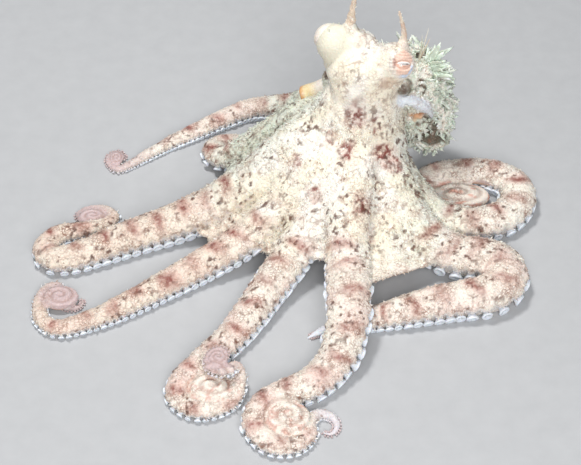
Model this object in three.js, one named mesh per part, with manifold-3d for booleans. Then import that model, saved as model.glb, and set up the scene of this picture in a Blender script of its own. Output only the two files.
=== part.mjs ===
// A small shaggy-skinned octopus, life size, standing on eight spread arms.
// Millimetres, +Z up. The octopus looks along -Y and a little to -X, and its mantle hangs behind the head.
// Arms r1..r4 are its right arms and l1..l4 its left arms, numbered from the front pair to the rear pair.
import * as THREE from "three";
import { mergeVertices } from "three/addons/utils/BufferGeometryUtils.js";
import Module from "manifold-3d";

const wasm = await Module();
wasm.setup();

// ---------------------------------------------------------------- driving sizes
const CUT = 0.34; // gap where two neighbouring pieces are parted
const SLIVER = 0.05; // faces thinner than this are merged into their neighbours
const ARM_FLATNESS = 0.7; // height of an arm's section over its width
const ARM_ROOT = 2; // distance along an arm where its root begins, deep in the crown
const RING_STEP = 0.66; // spacing of an arm's rings, as a share of its width there
const RING_STEP_LEAST = 2.2; // millimetres
const BEND_ROOM = 0.9; // how near the inner side of a bend may come to its centre
const WEB_THICKNESS = 2.4;
const WEB_SAG = 2.0;
const WEB_START = 0.15; // where a web begins, as a share of its reach

// An arm's section, as shares of its width (across) and height (up from the sole), counterclockwise.
const ARM_SECTION = [
  [-0.34, 0],
  [0.34, 0],
  [0.5, 0.36],
  [0.44, 0.68],
  [0.18, 0.97],
  [-0.18, 0.97],
  [-0.44, 0.68],
  [-0.5, 0.36],
];

// Each arm: its width at the root and the tip, the power of its taper, the distances along it where its
// lengths begin (the first is where it leaves the crown), and the line of its sole from the crown to the tip.
const ARMS = {
  l1: {
    width: 15.5,
    tip: 1.3,
    taper: 2.2,
    starts: [47, 80, 114],
    sole: [
      [21.5, 17.5, 28], [20, 4.5, 22], [18, -8.5, 14], [17.5, -23, 8], [17.5, -37.5, 7.6], [17, -47, 5.2],
      [14, -56.5, 1], [7, -65, 0], [-1.5, -69.5, 0], [-8, -74, 0], [-10, -80.5, 0], [-6, -86.5, 0],
      [0.5, -87.4, 0], [5.2, -83.4, 0], [5.2, -78.4, 0], [8.2, -75.4, 0], [11.8, -76.2, 0], [13.4, -79.2, 0],
      [12, -82, 0], [9.6, -81.6, 0], [10, -79.6, 0],
    ],
  },
  r1: {
    width: 15,
    tip: 1.3,
    taper: 1.6,
    starts: [45, 78, 114],
    sole: [
      [19.5, 18, 28], [15, 6, 22], [8.5, -5, 12], [2.5, -15, 5], [-4.5, -25, 1.5], [-10.5, -35.5, 0.5],
      [-17.5, -47, 0], [-25.5, -56.5, 0], [-31.5, -63.5, 0], [-33, -69.5, 0], [-28.5, -74, 0], [-22.5, -74, 0],
      [-17, -70.5, 0], [-15, -65, 2], [-16.2, -62.4, 5.5], [-19.2, -65.6, 7.4], [-23.2, -64.6, 7.6], [-24, -60.6, 8.6],
      [-21, -58, 9.4], [-18.6, -59.9, 9.6], [-19.8, -62.5, 9], [-21.4, -61.2, 9],
    ],
  },
  l2: {
    width: 15.5,
    tip: 1.3,
    taper: 4.5,
    starts: [48, 79, 111],
    sole: [
      [23, 21, 28], [27.5, 10.5, 21], [33.5, 0.5, 11], [41, -9, 4], [50.5, -14.2, 0.5], [59.3, -15.7, 0],
      [64.6, -17.9, 0], [66.8, -23.1, 0], [64.6, -28.4, 0], [59.3, -31.6, 0], [50, -33.2, 0], [40, -35.6, 0],
      [30, -38.2, 0], [18, -41, 0], [9, -43.6, 0], [4.5, -46, 0],
    ],
  },
  r2: {
    width: 15,
    tip: 1.3,
    taper: 1.5,
    starts: [58, 92, 126],
    sole: [
      [18, 21, 28], [8.5, 8, 22], [-1.5, -1, 12], [-14.5, -10.5, 4], [-28.5, -18.8, 0.5], [-40.5, -27, 0],
      [-52, -35, 0], [-62.5, -40.5, 0], [-70.5, -42.8, 0], [-75.8, -39, 0], [-77.2, -32.5, 0], [-76, -26.4, 0],
      [-72.6, -24.6, 0], [-70.6, -28, 0], [-70.4, -32.4, 0], [-66.8, -34, 0], [-64.2, -31.6, 0], [-65, -28, 0],
    ],
  },
  l3: {
    width: 12.5,
    tip: 1.3,
    taper: 7,
    starts: [48, 79, 108],
    sole: [
      [23.5, 24, 28], [30, 15, 18], [38.5, 7, 8.5], [47, 1, 3], [58, 0, 0.5], [68, 3, 0],
      [74, 10.5, 0], [73, 19, 0], [65.5, 24, 0], [56, 24.6, 0], [49, 23.8, 0], [44.6, 21.4, 0],
      [43.6, 18.2, 0], [46.8, 15.2, 0], [52, 14, 0], [58, 14.6, 0], [62.6, 16.2, 0],
    ],
  },
  r3: {
    width: 16.5,
    tip: 1.3,
    taper: 2.0,
    starts: [62, 90, 117],
    sole: [
      [17, 23.5, 28], [5, 15, 23], [-8, 10, 13], [-21, 5.5, 5], [-35.5, 0.8, 0.5], [-48, -4.4, 0],
      [-60, -10.2, 0], [-68.5, -14.2, 0], [-75, -14.6, 0], [-77.4, -9.4, 0], [-74, -3.6, 0], [-67, -1.2, 0],
      [-60.4, 1.3, 0], [-57.4, 5.2, 0], [-60.6, 9.2, 0], [-66, 9.8, 0], [-69.2, 7.2, 0], [-67.2, 4.8, 0],
      [-63.6, 5.6, 0],
    ],
  },
  r4: {
    width: 14,
    tip: 1.3,
    taper: 1.7,
    starts: [38, 60, 82],
    sole: [
      [17.5, 28, 28], [6.5, 28, 22], [-4, 30, 13.2], [-13.5, 30.6, 6.2], [-19.5, 30.4, 2.4], [-24.4, 32.2, 1.2],
      [-25.6, 36.8, 0.6], [-21.6, 40.8, 0.2], [-14, 41.4, 0], [-6, 43, 0], [0, 45, 0], [4, 43.4, 0], [2.6, 40.4, 0],
    ],
  },
  l4: {
    width: 13.5,
    tip: 1.3,
    taper: 1.2,
    starts: [36, 66, 98],
    sole: [
      [20, 32.5, 26], [16.5, 46, 15], [8.5, 54.5, 6], [-1, 57.5, 1.5], [-12.5, 58.4, 0], [-21.5, 54.2, 0],
      [-31, 48, 0], [-40.5, 41.8, 0], [-48, 36, 0], [-54, 31, 0], [-58, 29, 0], [-61.2, 32.5, 0],
      [-61, 36.5, 0], [-58, 38, 0], [-56, 35.4, 0], [-57.9, 33.2, 0],
    ],
  },
};
const LENGTH_NAMES = ["base", "middle", "tip"];

// The closed middles of the coils that the arms end in: where an arm is rolled up, its turns and skin fill the coil.
const COIL_MIDDLES = {
  l1: { centre: [-1, -78.4, 3], radii: [7, 6.2, 2.9] },
  r1: { centre: [-23, -67.6, 3], radii: [7.4, 5.6, 2.9] },
  r2: { centre: [-71, -30.6, 2.1], radii: [6, 5, 2] },
  r3: { centre: [-64, 5.2, 1.7], radii: [5.4, 3.8, 1.6] },
  l3: { centre: [55, 13.8, 2.8], radii: [10.5, 6, 2.7] },
  l4: { centre: [-58.6, 34, 1.2], radii: [2.6, 3.6, 1.1] },
};

// The webs between neighbouring arms: how far each reaches along its two arms, and how deeply its edge is cut in.
const WEBS = [
  { arms: ["r1", "l1"], reach: [50, 50], bite: 0.1 },
  { arms: ["r2", "r1"], reach: [56, 52], bite: 0.08 },
  { arms: ["r3", "r2"], reach: [66, 64], bite: 0.08 },
  { arms: ["r4", "r3"], reach: [46, 60], bite: 0.12 },
  { arms: ["l4", "r4"], reach: [40, 36], bite: 0.2 },
  { arms: ["l3", "l4"], reach: [38, 30], bite: 0.2 },
  { arms: ["l2", "l3"], reach: [54, 50], bite: 0.12 },
  { arms: ["l1", "l2"], reach: [60, 60], bite: 0.05 },
];

// The arm crown: a leaning cone of flesh between the mouth and the head, as rings [x, y, z, half width, half depth].
const CROWN_RINGS = [
  [18, 9, 3.5, 9, 9],
  [18, 10, 6, 15, 14],
  [18.5, 12, 14, 18.5, 16],
  [19.5, 15, 24, 18, 14.5],
  [20.8, 17.5, 34, 15.4, 12],
  [22.3, 19.8, 42.5, 12.4, 10.4],
  [23, 21, 48, 8, 7],
];

// The head: its braincase, its two eye mounds and the ridges between them, as [centre, radii].
const HEAD_BLOBS = [
  { centre: [23.4, 21, 49.8], radii: [12.6, 9.8, 9.6] },
  { centre: [13.8, 25.5, 57], radii: [5.8, 6.2, 6] },
  { centre: [15.4, 24.4, 52], radii: [5.6, 6, 6] },
  { centre: [31.8, 18.6, 55], radii: [6.2, 6.2, 6.6] },
  { centre: [21.6, 24.4, 57.6], radii: [6.4, 5, 5.6] },
  { centre: [28.5, 26.5, 47], radii: [9, 7, 8] },
];
const EYES = {
  eye_right: { centre: [12.2, 26.8, 57.6], radius: 4.8 },
  eye_left: { centre: [33.2, 17, 55.9], radius: 4.8 },
};
// The horns over the eyes: a root, a knee and a tip, with the half thickness at each.
const HORNS = {
  horn_right: { spine: [[17.8, 26, 60], [18.6, 26.5, 67], [19.8, 27, 76]], radii: [2.4, 1.2, 0.4] },
  horn_left: { spine: [[33.6, 19.4, 59.5], [34.4, 20, 65], [32.6, 21, 72.8]], radii: [1.9, 1, 0.4] },
};

// The mantle: a sac hanging behind the head, as rings [x, y, z, radius].
const MANTLE_RINGS = [
  [30, 27, 52.6, 3.4],
  [32, 28, 51, 7.6],
  [35.6, 30, 45.6, 11.2],
  [38.6, 31.5, 38, 12.7],
  [41, 32, 29, 12.4],
  [43.4, 32, 20, 10.4],
  [45.4, 31.5, 13, 7.2],
  [46.4, 31, 9.4, 3.1],
];
const MANTLE_PAPILLAE = { rows: 4, perRow: 5, length: 4.4, thickness: 1.25, lean: 0.35 };

// The funnel: a short tube from under the mantle's edge, open at its end.
const FUNNEL = { root: [18, 31.5, 37], tip: [4.6, 33, 30], rootRadius: 4.4, tipRadius: 3.2, bore: 1.9, depth: 7 };

// ---------------------------------------------------------------- solids
const vec = (p) => new THREE.Vector3(...p);

// A closed three.js geometry as a solid, facing out.
function solidOf(geometry) {
  const bare = new THREE.BufferGeometry();
  bare.setAttribute("position", geometry.getAttribute("position").clone());
  if (geometry.index) bare.setIndex(geometry.index.clone());
  const merged = mergeVertices(bare, 1e-4);
  const mesh = { numProp: 3, vertProperties: merged.attributes.position.array, triVerts: merged.index.array };
  mesh.triVerts = new Uint32Array(mesh.triVerts);
  const made = new wasm.Manifold(new wasm.Mesh(mesh));
  if (made.volume() > 0) return made;
  for (let i = 0; i < mesh.triVerts.length; i += 3) mesh.triVerts.subarray(i, i + 2).reverse();
  return new wasm.Manifold(new wasm.Mesh(mesh));
}

// A solid as a three.js geometry again; only its largest body is kept, without the slivers that cuts leave.
function geometryOf(solid) {
  const bodies = solid.simplify(SLIVER).decompose();
  const largest = bodies.reduce((a, b) => (b.volume() > a.volume() ? b : a));
  const { vertProperties, triVerts, numProp } = largest.getMesh();
  const positions = new Float32Array((vertProperties.length / numProp) * 3);
  for (let i = 0; i < positions.length / 3; i++)
    positions.set(vertProperties.subarray(i * numProp, i * numProp + 3), i * 3);
  const geometry = new THREE.BufferGeometry();
  geometry.setAttribute("position", new THREE.BufferAttribute(positions, 3));
  geometry.setIndex(new THREE.BufferAttribute(triVerts, 1));
  return geometry;
}

// A closed skin over rings of equally many points, with a fan at each end.
function loft(rings) {
  const count = rings[0].length;
  const positions = [];
  const index = [];
  for (const ring of rings) for (const p of ring) positions.push(p.x, p.y, p.z);
  for (let r = 0; r + 1 < rings.length; r++)
    for (let i = 0; i < count; i++) {
      const j = (i + 1) % count;
      const [a, b, c, d] = [r * count + i, r * count + j, (r + 1) * count + j, (r + 1) * count + i];
      index.push(a, b, c, a, c, d);
    }
  for (const [r, turn] of [[0, 1], [rings.length - 1, 0]]) {
    const centre = rings[r].reduce((sum, p) => sum.add(p), new THREE.Vector3()).divideScalar(count);
    const hub = positions.length / 3;
    positions.push(centre.x, centre.y, centre.z);
    for (let i = 0; i < count; i++) {
      const j = (i + 1) % count;
      const [a, b] = turn ? [j, i] : [i, j];
      index.push(r * count + a, r * count + b, hub);
    }
  }
  const geometry = new THREE.BufferGeometry();
  geometry.setAttribute("position", new THREE.Float32BufferAttribute(positions, 3));
  geometry.setIndex(index);
  return geometry;
}

// Points of an upright-facing ellipse round a centre.
function levelRing([x, y, z, halfWidth, halfDepth], count, grow) {
  return Array.from({ length: count }, (_, i) => {
    const turn = (i / count) * 2 * Math.PI;
    return new THREE.Vector3(
      x + (halfWidth + grow) * Math.cos(turn),
      y + (halfDepth + grow) * Math.sin(turn),
      z,
    );
  });
}

// A round tube through the points of a spine, with a radius at each.
function roundTube(spine, radii, sides, grow) {
  const curve = new THREE.CatmullRomCurve3(spine.map(vec), false, "catmullrom", 0.5);
  const steps = 2 * (spine.length - 1);
  const rings = [];
  for (let k = 0; k <= steps; k++) {
    const t = k / steps;
    const at = curve.getPoint(t);
    const along = curve.getTangent(t);
    if (k === 0) at.addScaledVector(along, -grow);
    if (k === steps) at.addScaledVector(along, grow);
    const side = new THREE.Vector3(0, 1, 0).cross(along).normalize();
    const up = along.clone().cross(side);
    const place = t * (radii.length - 1);
    const low = Math.min(Math.floor(place), radii.length - 2);
    const radius = THREE.MathUtils.lerp(radii[low], radii[low + 1], place - low) + grow;
    rings.push(
      Array.from({ length: sides }, (_, i) => {
        const turn = (i / sides) * 2 * Math.PI;
        return at
          .clone()
          .addScaledVector(side, radius * Math.cos(turn))
          .addScaledVector(up, radius * Math.sin(turn));
      }),
    );
  }
  return solidOf(loft(rings));
}

function ellipsoid(centre, radii, across, down, grow) {
  const ball = new THREE.SphereGeometry(1, across, down);
  ball.rotateX(Math.PI / 2);
  ball.scale(...radii.map((r) => r + grow));
  ball.translate(...centre);
  return solidOf(ball);
}

const union = (solids) => wasm.Manifold.union(solids);
const less = (solid, cutters) => cutters.reduce((left, cutter) => left.subtract(cutter), solid);

// ---------------------------------------------------------------- arms
for (const arm of Object.values(ARMS)) {
  arm.curve = new THREE.CatmullRomCurve3(arm.sole.map(vec), false, "catmullrom", 0.5);
  arm.curve.arcLengthDivisions = 600;
  arm.length = arm.curve.getLength();
}

const armWidth = (arm, s) => arm.tip + (arm.width - arm.tip) * (1 - share(arm, s) ** arm.taper);

const share = (arm, s) => THREE.MathUtils.clamp(s / arm.length, 0, 1);
const armDirection = (arm, s) => arm.curve.getTangentAt(share(arm, s));

// Where an arm is at a distance s along it: its sole's point, its direction, its side and its upward direction.
function armFrame(arm, s) {
  const at = arm.curve.getPointAt(share(arm, s));
  const along = armDirection(arm, s);
  const side = along.clone().cross(new THREE.Vector3(0, 0, 1)).normalize();
  const up = side.clone().cross(along);
  return { at, along, side, up, width: armWidth(arm, s) };
}

// How sharply an arm bends towards its side there, as one over the bend's radius.
function sidewaysBend(arm, s, side) {
  const reach = 1;
  const turn = armDirection(arm, s + reach).sub(armDirection(arm, s - reach));
  return turn.dot(side) / (2 * reach);
}

// One ring of an arm's skin. Inside a sharp bend it is narrower, so that the arm doesn't pass through itself.
function armRing(arm, s, grow, shift) {
  const { at, along, side, up, width } = armFrame(arm, s);
  const bend = sidewaysBend(arm, s, side);
  const height = width * ARM_FLATNESS;
  return ARM_SECTION.map(([across, high]) => {
    let out = across * (width + 2 * grow);
    if (out * bend > BEND_ROOM) out = BEND_ROOM / bend;
    const p = at
      .clone()
      .addScaledVector(side, out)
      .addScaledVector(up, high * (height + 2 * grow) - grow)
      .addScaledVector(along, shift);
    p.z = Math.max(p.z, -grow);
    return p;
  });
}

// One length of an arm, from distance a to distance b along it.
function armLength(arm, a, b, grow = 0) {
  const rings = [armRing(arm, a, grow, -grow)];
  const step = (s) => Math.max(RING_STEP * armWidth(arm, s), RING_STEP_LEAST);
  for (let s = a + step(a); s < b - 0.4 * step(s); s += step(s)) rings.push(armRing(arm, s, grow, 0));
  rings.push(armRing(arm, b, grow, grow));
  return solidOf(loft(rings));
}

// A length of an arm as a piece of its own; the tip carries the closed middle of the coil.
function armPiece(name, part, a, b, grow) {
  const tube = armLength(ARMS[name], a, b, grow);
  const middle = COIL_MIDDLES[name];
  return part === "tip" && middle ? union([tube, ellipsoid(middle.centre, middle.radii, 8, 4, grow)]) : tube;
}

// ---------------------------------------------------------------- web
// A thin sheet between the middles of two arms. Its free edge is a shallow arc, and it sags between the arms.
function webSheet({ arms: [nameA, nameB], reach, bite }) {
  const [a, b] = [ARMS[nameA], ARMS[nameB]];
  const across = 3;
  const along = 5;
  const top = [];
  for (let i = 0; i <= across; i++)
    for (let j = 0; j <= along; j++) {
      const u = i / across;
      const v = THREE.MathUtils.lerp(WEB_START, 1 - bite * Math.sin(Math.PI * u), j / along);
      const [fa, fb] = [armFrame(a, v * reach[0]), armFrame(b, v * reach[1])];
      const [pa, pb] = [fa, fb].map(({ at, up, width }) => at.clone().addScaledVector(up, 0.62 * width * ARM_FLATNESS));
      const p = pa.lerp(pb, u);
      p.z = Math.max(p.z - WEB_SAG * Math.sin(Math.PI * u) * v, WEB_THICKNESS + 0.4);
      top.push(p);
    }
  const low = top.map((p) => new THREE.Vector3(p.x, p.y, p.z - WEB_THICKNESS));
  const row = along + 1;
  const index = [];
  const quad = (p, q, r, s) => index.push(p, q, r, p, r, s);
  const shift = top.length;
  for (let i = 0; i < across; i++)
    for (let j = 0; j < along; j++) {
      const k = i * row + j;
      quad(k, k + row, k + row + 1, k + 1);
      quad(shift + k, shift + k + 1, shift + k + row + 1, shift + k + row);
    }
  for (let i = 0; i < across; i++)
    for (const [j, turned] of [[0, false], [along, true]]) {
      const [k, n] = turned ? [(i + 1) * row + j, i * row + j] : [i * row + j, (i + 1) * row + j];
      quad(k, shift + k, shift + n, n);
    }
  for (let j = 0; j < along; j++)
    for (const [i, turned] of [[0, true], [across, false]]) {
      const [k, n] = turned ? [i * row + j + 1, i * row + j] : [i * row + j, i * row + j + 1];
      quad(k, shift + k, shift + n, n);
    }
  const geometry = new THREE.BufferGeometry();
  geometry.setAttribute("position", new THREE.Float32BufferAttribute([...top, ...low].flatMap((p) => p.toArray()), 3));
  geometry.setIndex(index);
  return solidOf(geometry);
}

// ---------------------------------------------------------------- head, mantle, funnel
const headShape = (grow) => union(HEAD_BLOBS.map(({ centre, radii }) => ellipsoid(centre, radii, 10, 6, grow)));
const crownShape = () => solidOf(loft(CROWN_RINGS.map((ring) => levelRing(ring, 14, 0))));

function mantleSac(grow) {
  const rings = MANTLE_RINGS.map(([x, y, z, radius]) => levelRing([x, y, z, radius, 0.94 * radius], 12, grow));
  for (const p of rings[0]) p.z += grow;
  for (const p of rings.at(-1)) p.z -= grow;
  return solidOf(loft(rings));
}

// The long skin flaps of the mantle, as bent spikes in rows round it.
function mantlePapillae(grow) {
  const { rows, perRow, length, thickness, lean } = MANTLE_PAPILLAE;
  const spikes = [];
  for (let row = 0; row < rows; row++)
    for (let k = 0; k < perRow; k++) {
      const [x, y, z, radius] = MANTLE_RINGS[row + 2];
      const turn = ((k + 0.5 * (row % 2)) / perRow) * 2 * Math.PI;
      const out = new THREE.Vector3(Math.cos(turn), Math.sin(turn), 0);
      const long = length * (1 + 0.35 * Math.sin(5 * row + 3 * k));
      const root = new THREE.Vector3(x, y, z).addScaledVector(out, radius - 2);
      const knee = root.clone().addScaledVector(out, 0.5 * long + 2);
      const end = knee.clone().addScaledVector(out, 0.5 * long);
      end.z += lean * long;
      spikes.push(
        roundTube([root, knee, end].map((p) => p.toArray()), [1.5 * thickness, thickness, 0.3 * thickness], 4, grow),
      );
    }
  return spikes;
}

const funnelTube = (grow) =>
  roundTube([FUNNEL.root, FUNNEL.tip], [FUNNEL.rootRadius, FUNNEL.tipRadius], 12, grow);

function funnelBore() {
  const tip = vec(FUNNEL.tip);
  const out = tip.clone().sub(vec(FUNNEL.root)).normalize();
  const ends = [tip.clone().addScaledVector(out, -FUNNEL.depth), tip.clone().addScaledVector(out, 1)];
  return roundTube(ends.map((p) => p.toArray()), [0.6 * FUNNEL.bore, FUNNEL.bore], 12, 0);
}

// ---------------------------------------------------------------- assembly
// Pieces are cut in order: each gives way, by the gap CUT, to those placed before it.
const FLESH = new THREE.MeshStandardMaterial({ color: 0xe6d8bd, roughness: 0.45, metalness: 0 });
const HEAD_SKIN = new THREE.MeshStandardMaterial({ color: 0xefe6cc, roughness: 0.4, metalness: 0 });
const MANTLE_SKIN = new THREE.MeshStandardMaterial({ color: 0xb9c3a0, roughness: 0.5, metalness: 0 });
const FUNNEL_SKIN = new THREE.MeshStandardMaterial({ color: 0xe8c069, roughness: 0.4, metalness: 0 });
const EYE = new THREE.MeshStandardMaterial({ color: 0xd98e6f, roughness: 0.15, metalness: 0 });

const octopus = new THREE.Group();
const placed = [];

function place(name, solid, grown, material) {
  const mesh = new THREE.Mesh(geometryOf(less(solid, placed)), material);
  mesh.name = name;
  octopus.add(mesh);
  placed.push(grown);
}

for (const [name, { centre, radius }] of Object.entries(EYES)) {
  const ball = (grow) => ellipsoid(centre, [radius, radius, radius], 12, 9, grow);
  place(name, ball(0), ball(CUT), EYE);
}
place("head", headShape(0), headShape(CUT), HEAD_SKIN);
for (const [name, { spine, radii }] of Object.entries(HORNS))
  place(name, roundTube(spine, radii, 7, 0), roundTube(spine, radii, 7, CUT), HEAD_SKIN);
place(
  "mantle",
  union([mantleSac(0), ...mantlePapillae(0)]),
  union([mantleSac(CUT), ...mantlePapillae(CUT)]),
  MANTLE_SKIN,
);
place("funnel", funnelTube(0).subtract(funnelBore()), funnelTube(CUT), FUNNEL_SKIN);
for (const [name, arm] of Object.entries(ARMS))
  LENGTH_NAMES.forEach((part, k) => {
    const from = arm.starts[k] + CUT;
    const to = arm.starts[k + 1] ?? arm.length;
    place(`arm_${name}_${part}`, armPiece(name, part, from, to, 0), armPiece(name, part, from, to, CUT), FLESH);
  });
const roots = Object.values(ARMS).map((arm) => armLength(arm, ARM_ROOT, arm.starts[0]));
const crown = union([crownShape(), ...roots, ...WEBS.map(webSheet)]);
place("arm_crown", crown, crown, FLESH);

// The origin is on the floor, under the middle of the whole animal.
const box = new THREE.Box3().setFromObject(octopus);
const middle = box.getCenter(new THREE.Vector3());
octopus.position.set(-middle.x, -middle.y, 0);

export default octopus;
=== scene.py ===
"""A small shaggy-skinned octopus with a horn over each eye, as a still, life-size model on a pale floor.

Shapes are worked out in millimetres in the model's own layout, where the octopus looks along -Y and a
little to -X, and they are moved into the frame's place as each mesh is made.
"""

import math

import bpy
import numpy as np
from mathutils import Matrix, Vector
from mathutils.kdtree import KDTree


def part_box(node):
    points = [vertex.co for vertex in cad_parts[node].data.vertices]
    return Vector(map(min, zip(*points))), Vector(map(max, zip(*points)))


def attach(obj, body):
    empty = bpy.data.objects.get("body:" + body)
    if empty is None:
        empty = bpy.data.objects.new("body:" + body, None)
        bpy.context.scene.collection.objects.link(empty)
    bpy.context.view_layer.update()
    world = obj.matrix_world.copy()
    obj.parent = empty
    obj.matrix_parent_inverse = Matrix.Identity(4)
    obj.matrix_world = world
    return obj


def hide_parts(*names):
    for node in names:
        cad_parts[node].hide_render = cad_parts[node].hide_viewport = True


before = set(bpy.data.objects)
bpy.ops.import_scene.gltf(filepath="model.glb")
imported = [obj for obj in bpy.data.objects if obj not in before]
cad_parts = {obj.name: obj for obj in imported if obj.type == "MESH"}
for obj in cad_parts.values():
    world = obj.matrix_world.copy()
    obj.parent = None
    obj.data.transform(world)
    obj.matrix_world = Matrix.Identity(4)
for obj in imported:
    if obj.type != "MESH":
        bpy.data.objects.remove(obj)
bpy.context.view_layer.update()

MM = 0.001
RNG = np.random.default_rng(7)

# ---------------- driving sizes, in millimetres
FINE_VOXEL = 0.42
VOXEL = FINE_VOXEL  # fineness of the skin
COAT = 0.35  # how far the skin lies inside the solids, to leave room for the papillae
DEEPEST = 4  # how far the skin may be pressed in
ARM_FLATNESS = 0.7  # height of an arm over its width
TIP_WIDTH = 1.3
BEND_ROOM = 0.9  # how close to the middle of a bend an arm's inner edge may come, over the bend's radius
WEB_THICKNESS = 2.0
WEB_SAG = 2.0
WEB_START = 0.15  # where the webs begin, as a share of their reach along the arms
WEB_HIGH = 0.62  # height of a web's edges on the arms, as a share of the arm's height
NECK_HEIGHT = 42
RING_STEPS = 8  # between the given rings of the crown and the mantle
BODY_AROUND = 64
COIL_TURNS = 2.2
ARM_RING_STEP = 0.6
WEB_ACROSS, WEB_ALONG = 28, 40
CAMERA_DISTANCE = 520
CAMERA_ELEVATION = 45
LENS = 99.9
SENSOR = 36

ARMS = {
    "l1": {
        "width": 15.5, "taper": 2.2,
        "sole": [
            (21.5, 17.5, 28), (20, 4.5, 22), (18, -8.5, 14), (17.5, -23, 8), (17.5, -37.5, 7.6),
            (17, -47, 5.2), (14, -56.5, 1), (7, -65, 0), (-1.5, -69.5, 0), (-8, -74, 0), (-10, -80.5, 0),
            (-6, -86.5, 0), (0.5, -87.4, 0), (5.2, -83.4, 0), (5.2, -78.4, 0), (8.2, -75.4, 0),
            (11.8, -76.2, 0), (13.4, -79.2, 0), (12, -82, 0), (9.6, -81.6, 0), (10, -79.6, 0),
        ],
    },
    "r1": {
        "width": 15, "taper": 1.6,
        "sole": [
            (19.5, 18, 28), (15, 6, 22), (8.5, -5, 12), (2.5, -15, 5), (-4.5, -25, 1.5),
            (-10.5, -35.5, 0.5), (-17.5, -47, 0), (-25.5, -56.5, 0), (-31.5, -63.5, 0), (-33, -69.5, 0),
            (-28.5, -74, 0), (-22.5, -74, 0), (-17, -70.5, 0), (-15, -65, 2), (-16.2, -62.4, 5.5),
            (-19.2, -65.6, 7.4), (-23.2, -64.6, 7.6), (-24, -60.6, 8.6), (-21, -58, 9.4),
            (-18.6, -59.9, 9.6), (-19.8, -62.5, 9), (-21.4, -61.2, 9),
        ],
    },
    "l2": {
        "width": 15.5, "taper": 4.5,
        "sole": [
            (23, 21, 28), (27.5, 10.5, 21), (33.5, 0.5, 11), (41, -9, 4), (50.5, -14.2, 0.5),
            (59.3, -15.7, 0), (64.6, -17.9, 0), (66.8, -23.1, 0), (64.6, -28.4, 0), (59.3, -31.6, 0),
            (50, -33.2, 0), (40, -35.6, 0), (30, -38.2, 0), (18, -41, 0), (9, -43.6, 0), (4.5, -46, 0),
        ],
    },
    "r2": {
        "width": 15, "taper": 1.5,
        "sole": [
            (18, 21, 28), (8.5, 8, 22), (-1.5, -1, 12), (-14.5, -10.5, 4), (-28.5, -18.8, 0.5),
            (-40.5, -27, 0), (-52, -35, 0), (-62.5, -40.5, 0), (-70.5, -42.8, 0), (-75.8, -39, 0),
            (-77.2, -32.5, 0), (-76, -26.4, 0), (-72.6, -24.6, 0), (-70.6, -28, 0), (-70.4, -32.4, 0),
            (-66.8, -34, 0), (-64.2, -31.6, 0), (-65, -28, 0),
        ],
    },
    "l3": {
        "width": 12.5, "taper": 7,
        "sole": [
            (23.5, 24, 28), (30, 15, 18), (38.5, 7, 8.5), (47, 1, 3), (58, 0, 0.5), (68, 3, 0),
            (74, 10.5, 0), (73, 19, 0), (65.5, 24, 0), (56, 24.6, 0), (49, 23.8, 0), (44.6, 21.4, 0),
            (43.6, 18.2, 0), (46.8, 15.2, 0), (52, 14, 0), (58, 14.6, 0), (62.6, 16.2, 0),
        ],
    },
    "r3": {
        "width": 16.5, "taper": 2,
        "sole": [
            (17, 23.5, 28), (5, 15, 23), (-8, 10, 13), (-21, 5.5, 5), (-35.5, 0.8, 0.5), (-48, -4.4, 0),
            (-60, -10.2, 0), (-68.5, -14.2, 0), (-75, -14.6, 0), (-77.4, -9.4, 0), (-74, -3.6, 0),
            (-67, -1.2, 0), (-60.4, 1.3, 0), (-57.4, 5.2, 0), (-60.6, 9.2, 0), (-66, 9.8, 0),
            (-69.2, 7.2, 0), (-67.2, 4.8, 0), (-63.6, 5.6, 0),
        ],
    },
    "r4": {
        "width": 14, "taper": 1.7,
        "sole": [
            (17.5, 28, 28), (6.5, 28, 22), (-4, 30, 13.2), (-13.5, 30.6, 6.2), (-19.5, 30.4, 2.4),
            (-24.4, 32.2, 1.2), (-25.6, 36.8, 0.6), (-21.6, 40.8, 0.2), (-14, 41.4, 0), (-6, 43, 0),
            (0, 45, 0), (4, 43.4, 0), (2.6, 40.4, 0),
        ],
    },
    "l4": {
        "width": 13.5, "taper": 1.2,
        "sole": [
            (20, 32.5, 26), (16.5, 46, 15), (8.5, 54.5, 6), (-1, 57.5, 1.5), (-12.5, 58.4, 0),
            (-21.5, 54.2, 0), (-31, 48, 0), (-40.5, 41.8, 0), (-48, 36, 0), (-54, 31, 0), (-58, 29, 0),
            (-61.2, 32.5, 0), (-61, 36.5, 0), (-58, 38, 0), (-56, 35.4, 0), (-57.9, 33.2, 0),
        ],
    },
}
COIL_MIDDLES = {
    "l1": ((-1, -78.4, 3), (7, 6.2, 2.9)),
    "r1": ((-23, -67.6, 3), (7.4, 5.6, 2.9)),
    "r2": ((-71, -30.6, 2.1), (6, 5, 2)),
    "r3": ((-64, 5.2, 1.7), (5.4, 3.8, 1.6)),
    "l3": ((55, 13.8, 2.8), (10.5, 6, 2.7)),
    "l4": ((-58.6, 34, 1.2), (2.6, 3.6, 1.1)),
    "r1_end": ((-21, -61.6, 9.8), (3.2, 3.2, 1.2)),
}
WEBS = [
    ("r1", "l1", 50, 50, 0.1),
    ("r2", "r1", 56, 52, 0.08),
    ("r3", "r2", 66, 64, 0.08),
    ("r4", "r3", 46, 60, 0.12),
    ("l4", "r4", 40, 36, 0.2),
    ("l3", "l4", 38, 30, 0.2),
    ("l2", "l3", 54, 50, 0.12),
    ("l1", "l2", 60, 60, 0.05),
]
ARM_SECTION = [
    (-0.28, 0), (0.28, 0), (0.35, 0.22), (0.49, 0.5), (0.45, 0.72), (0.19, 0.97),
    (-0.19, 0.97), (-0.45, 0.72), (-0.49, 0.5), (-0.35, 0.22),
]
SUCKER_STEP = 0.28  # between the suckers of a row, as a share of the arm's width
SUCKER_START = 20  # along the arm, where the rows begin
SUCKER_TILT = 0.36  # how far the suckers of an edge look down
SUCKER_HIDE = 52  # along the arm, where they have come out from right under it to its edges
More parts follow.
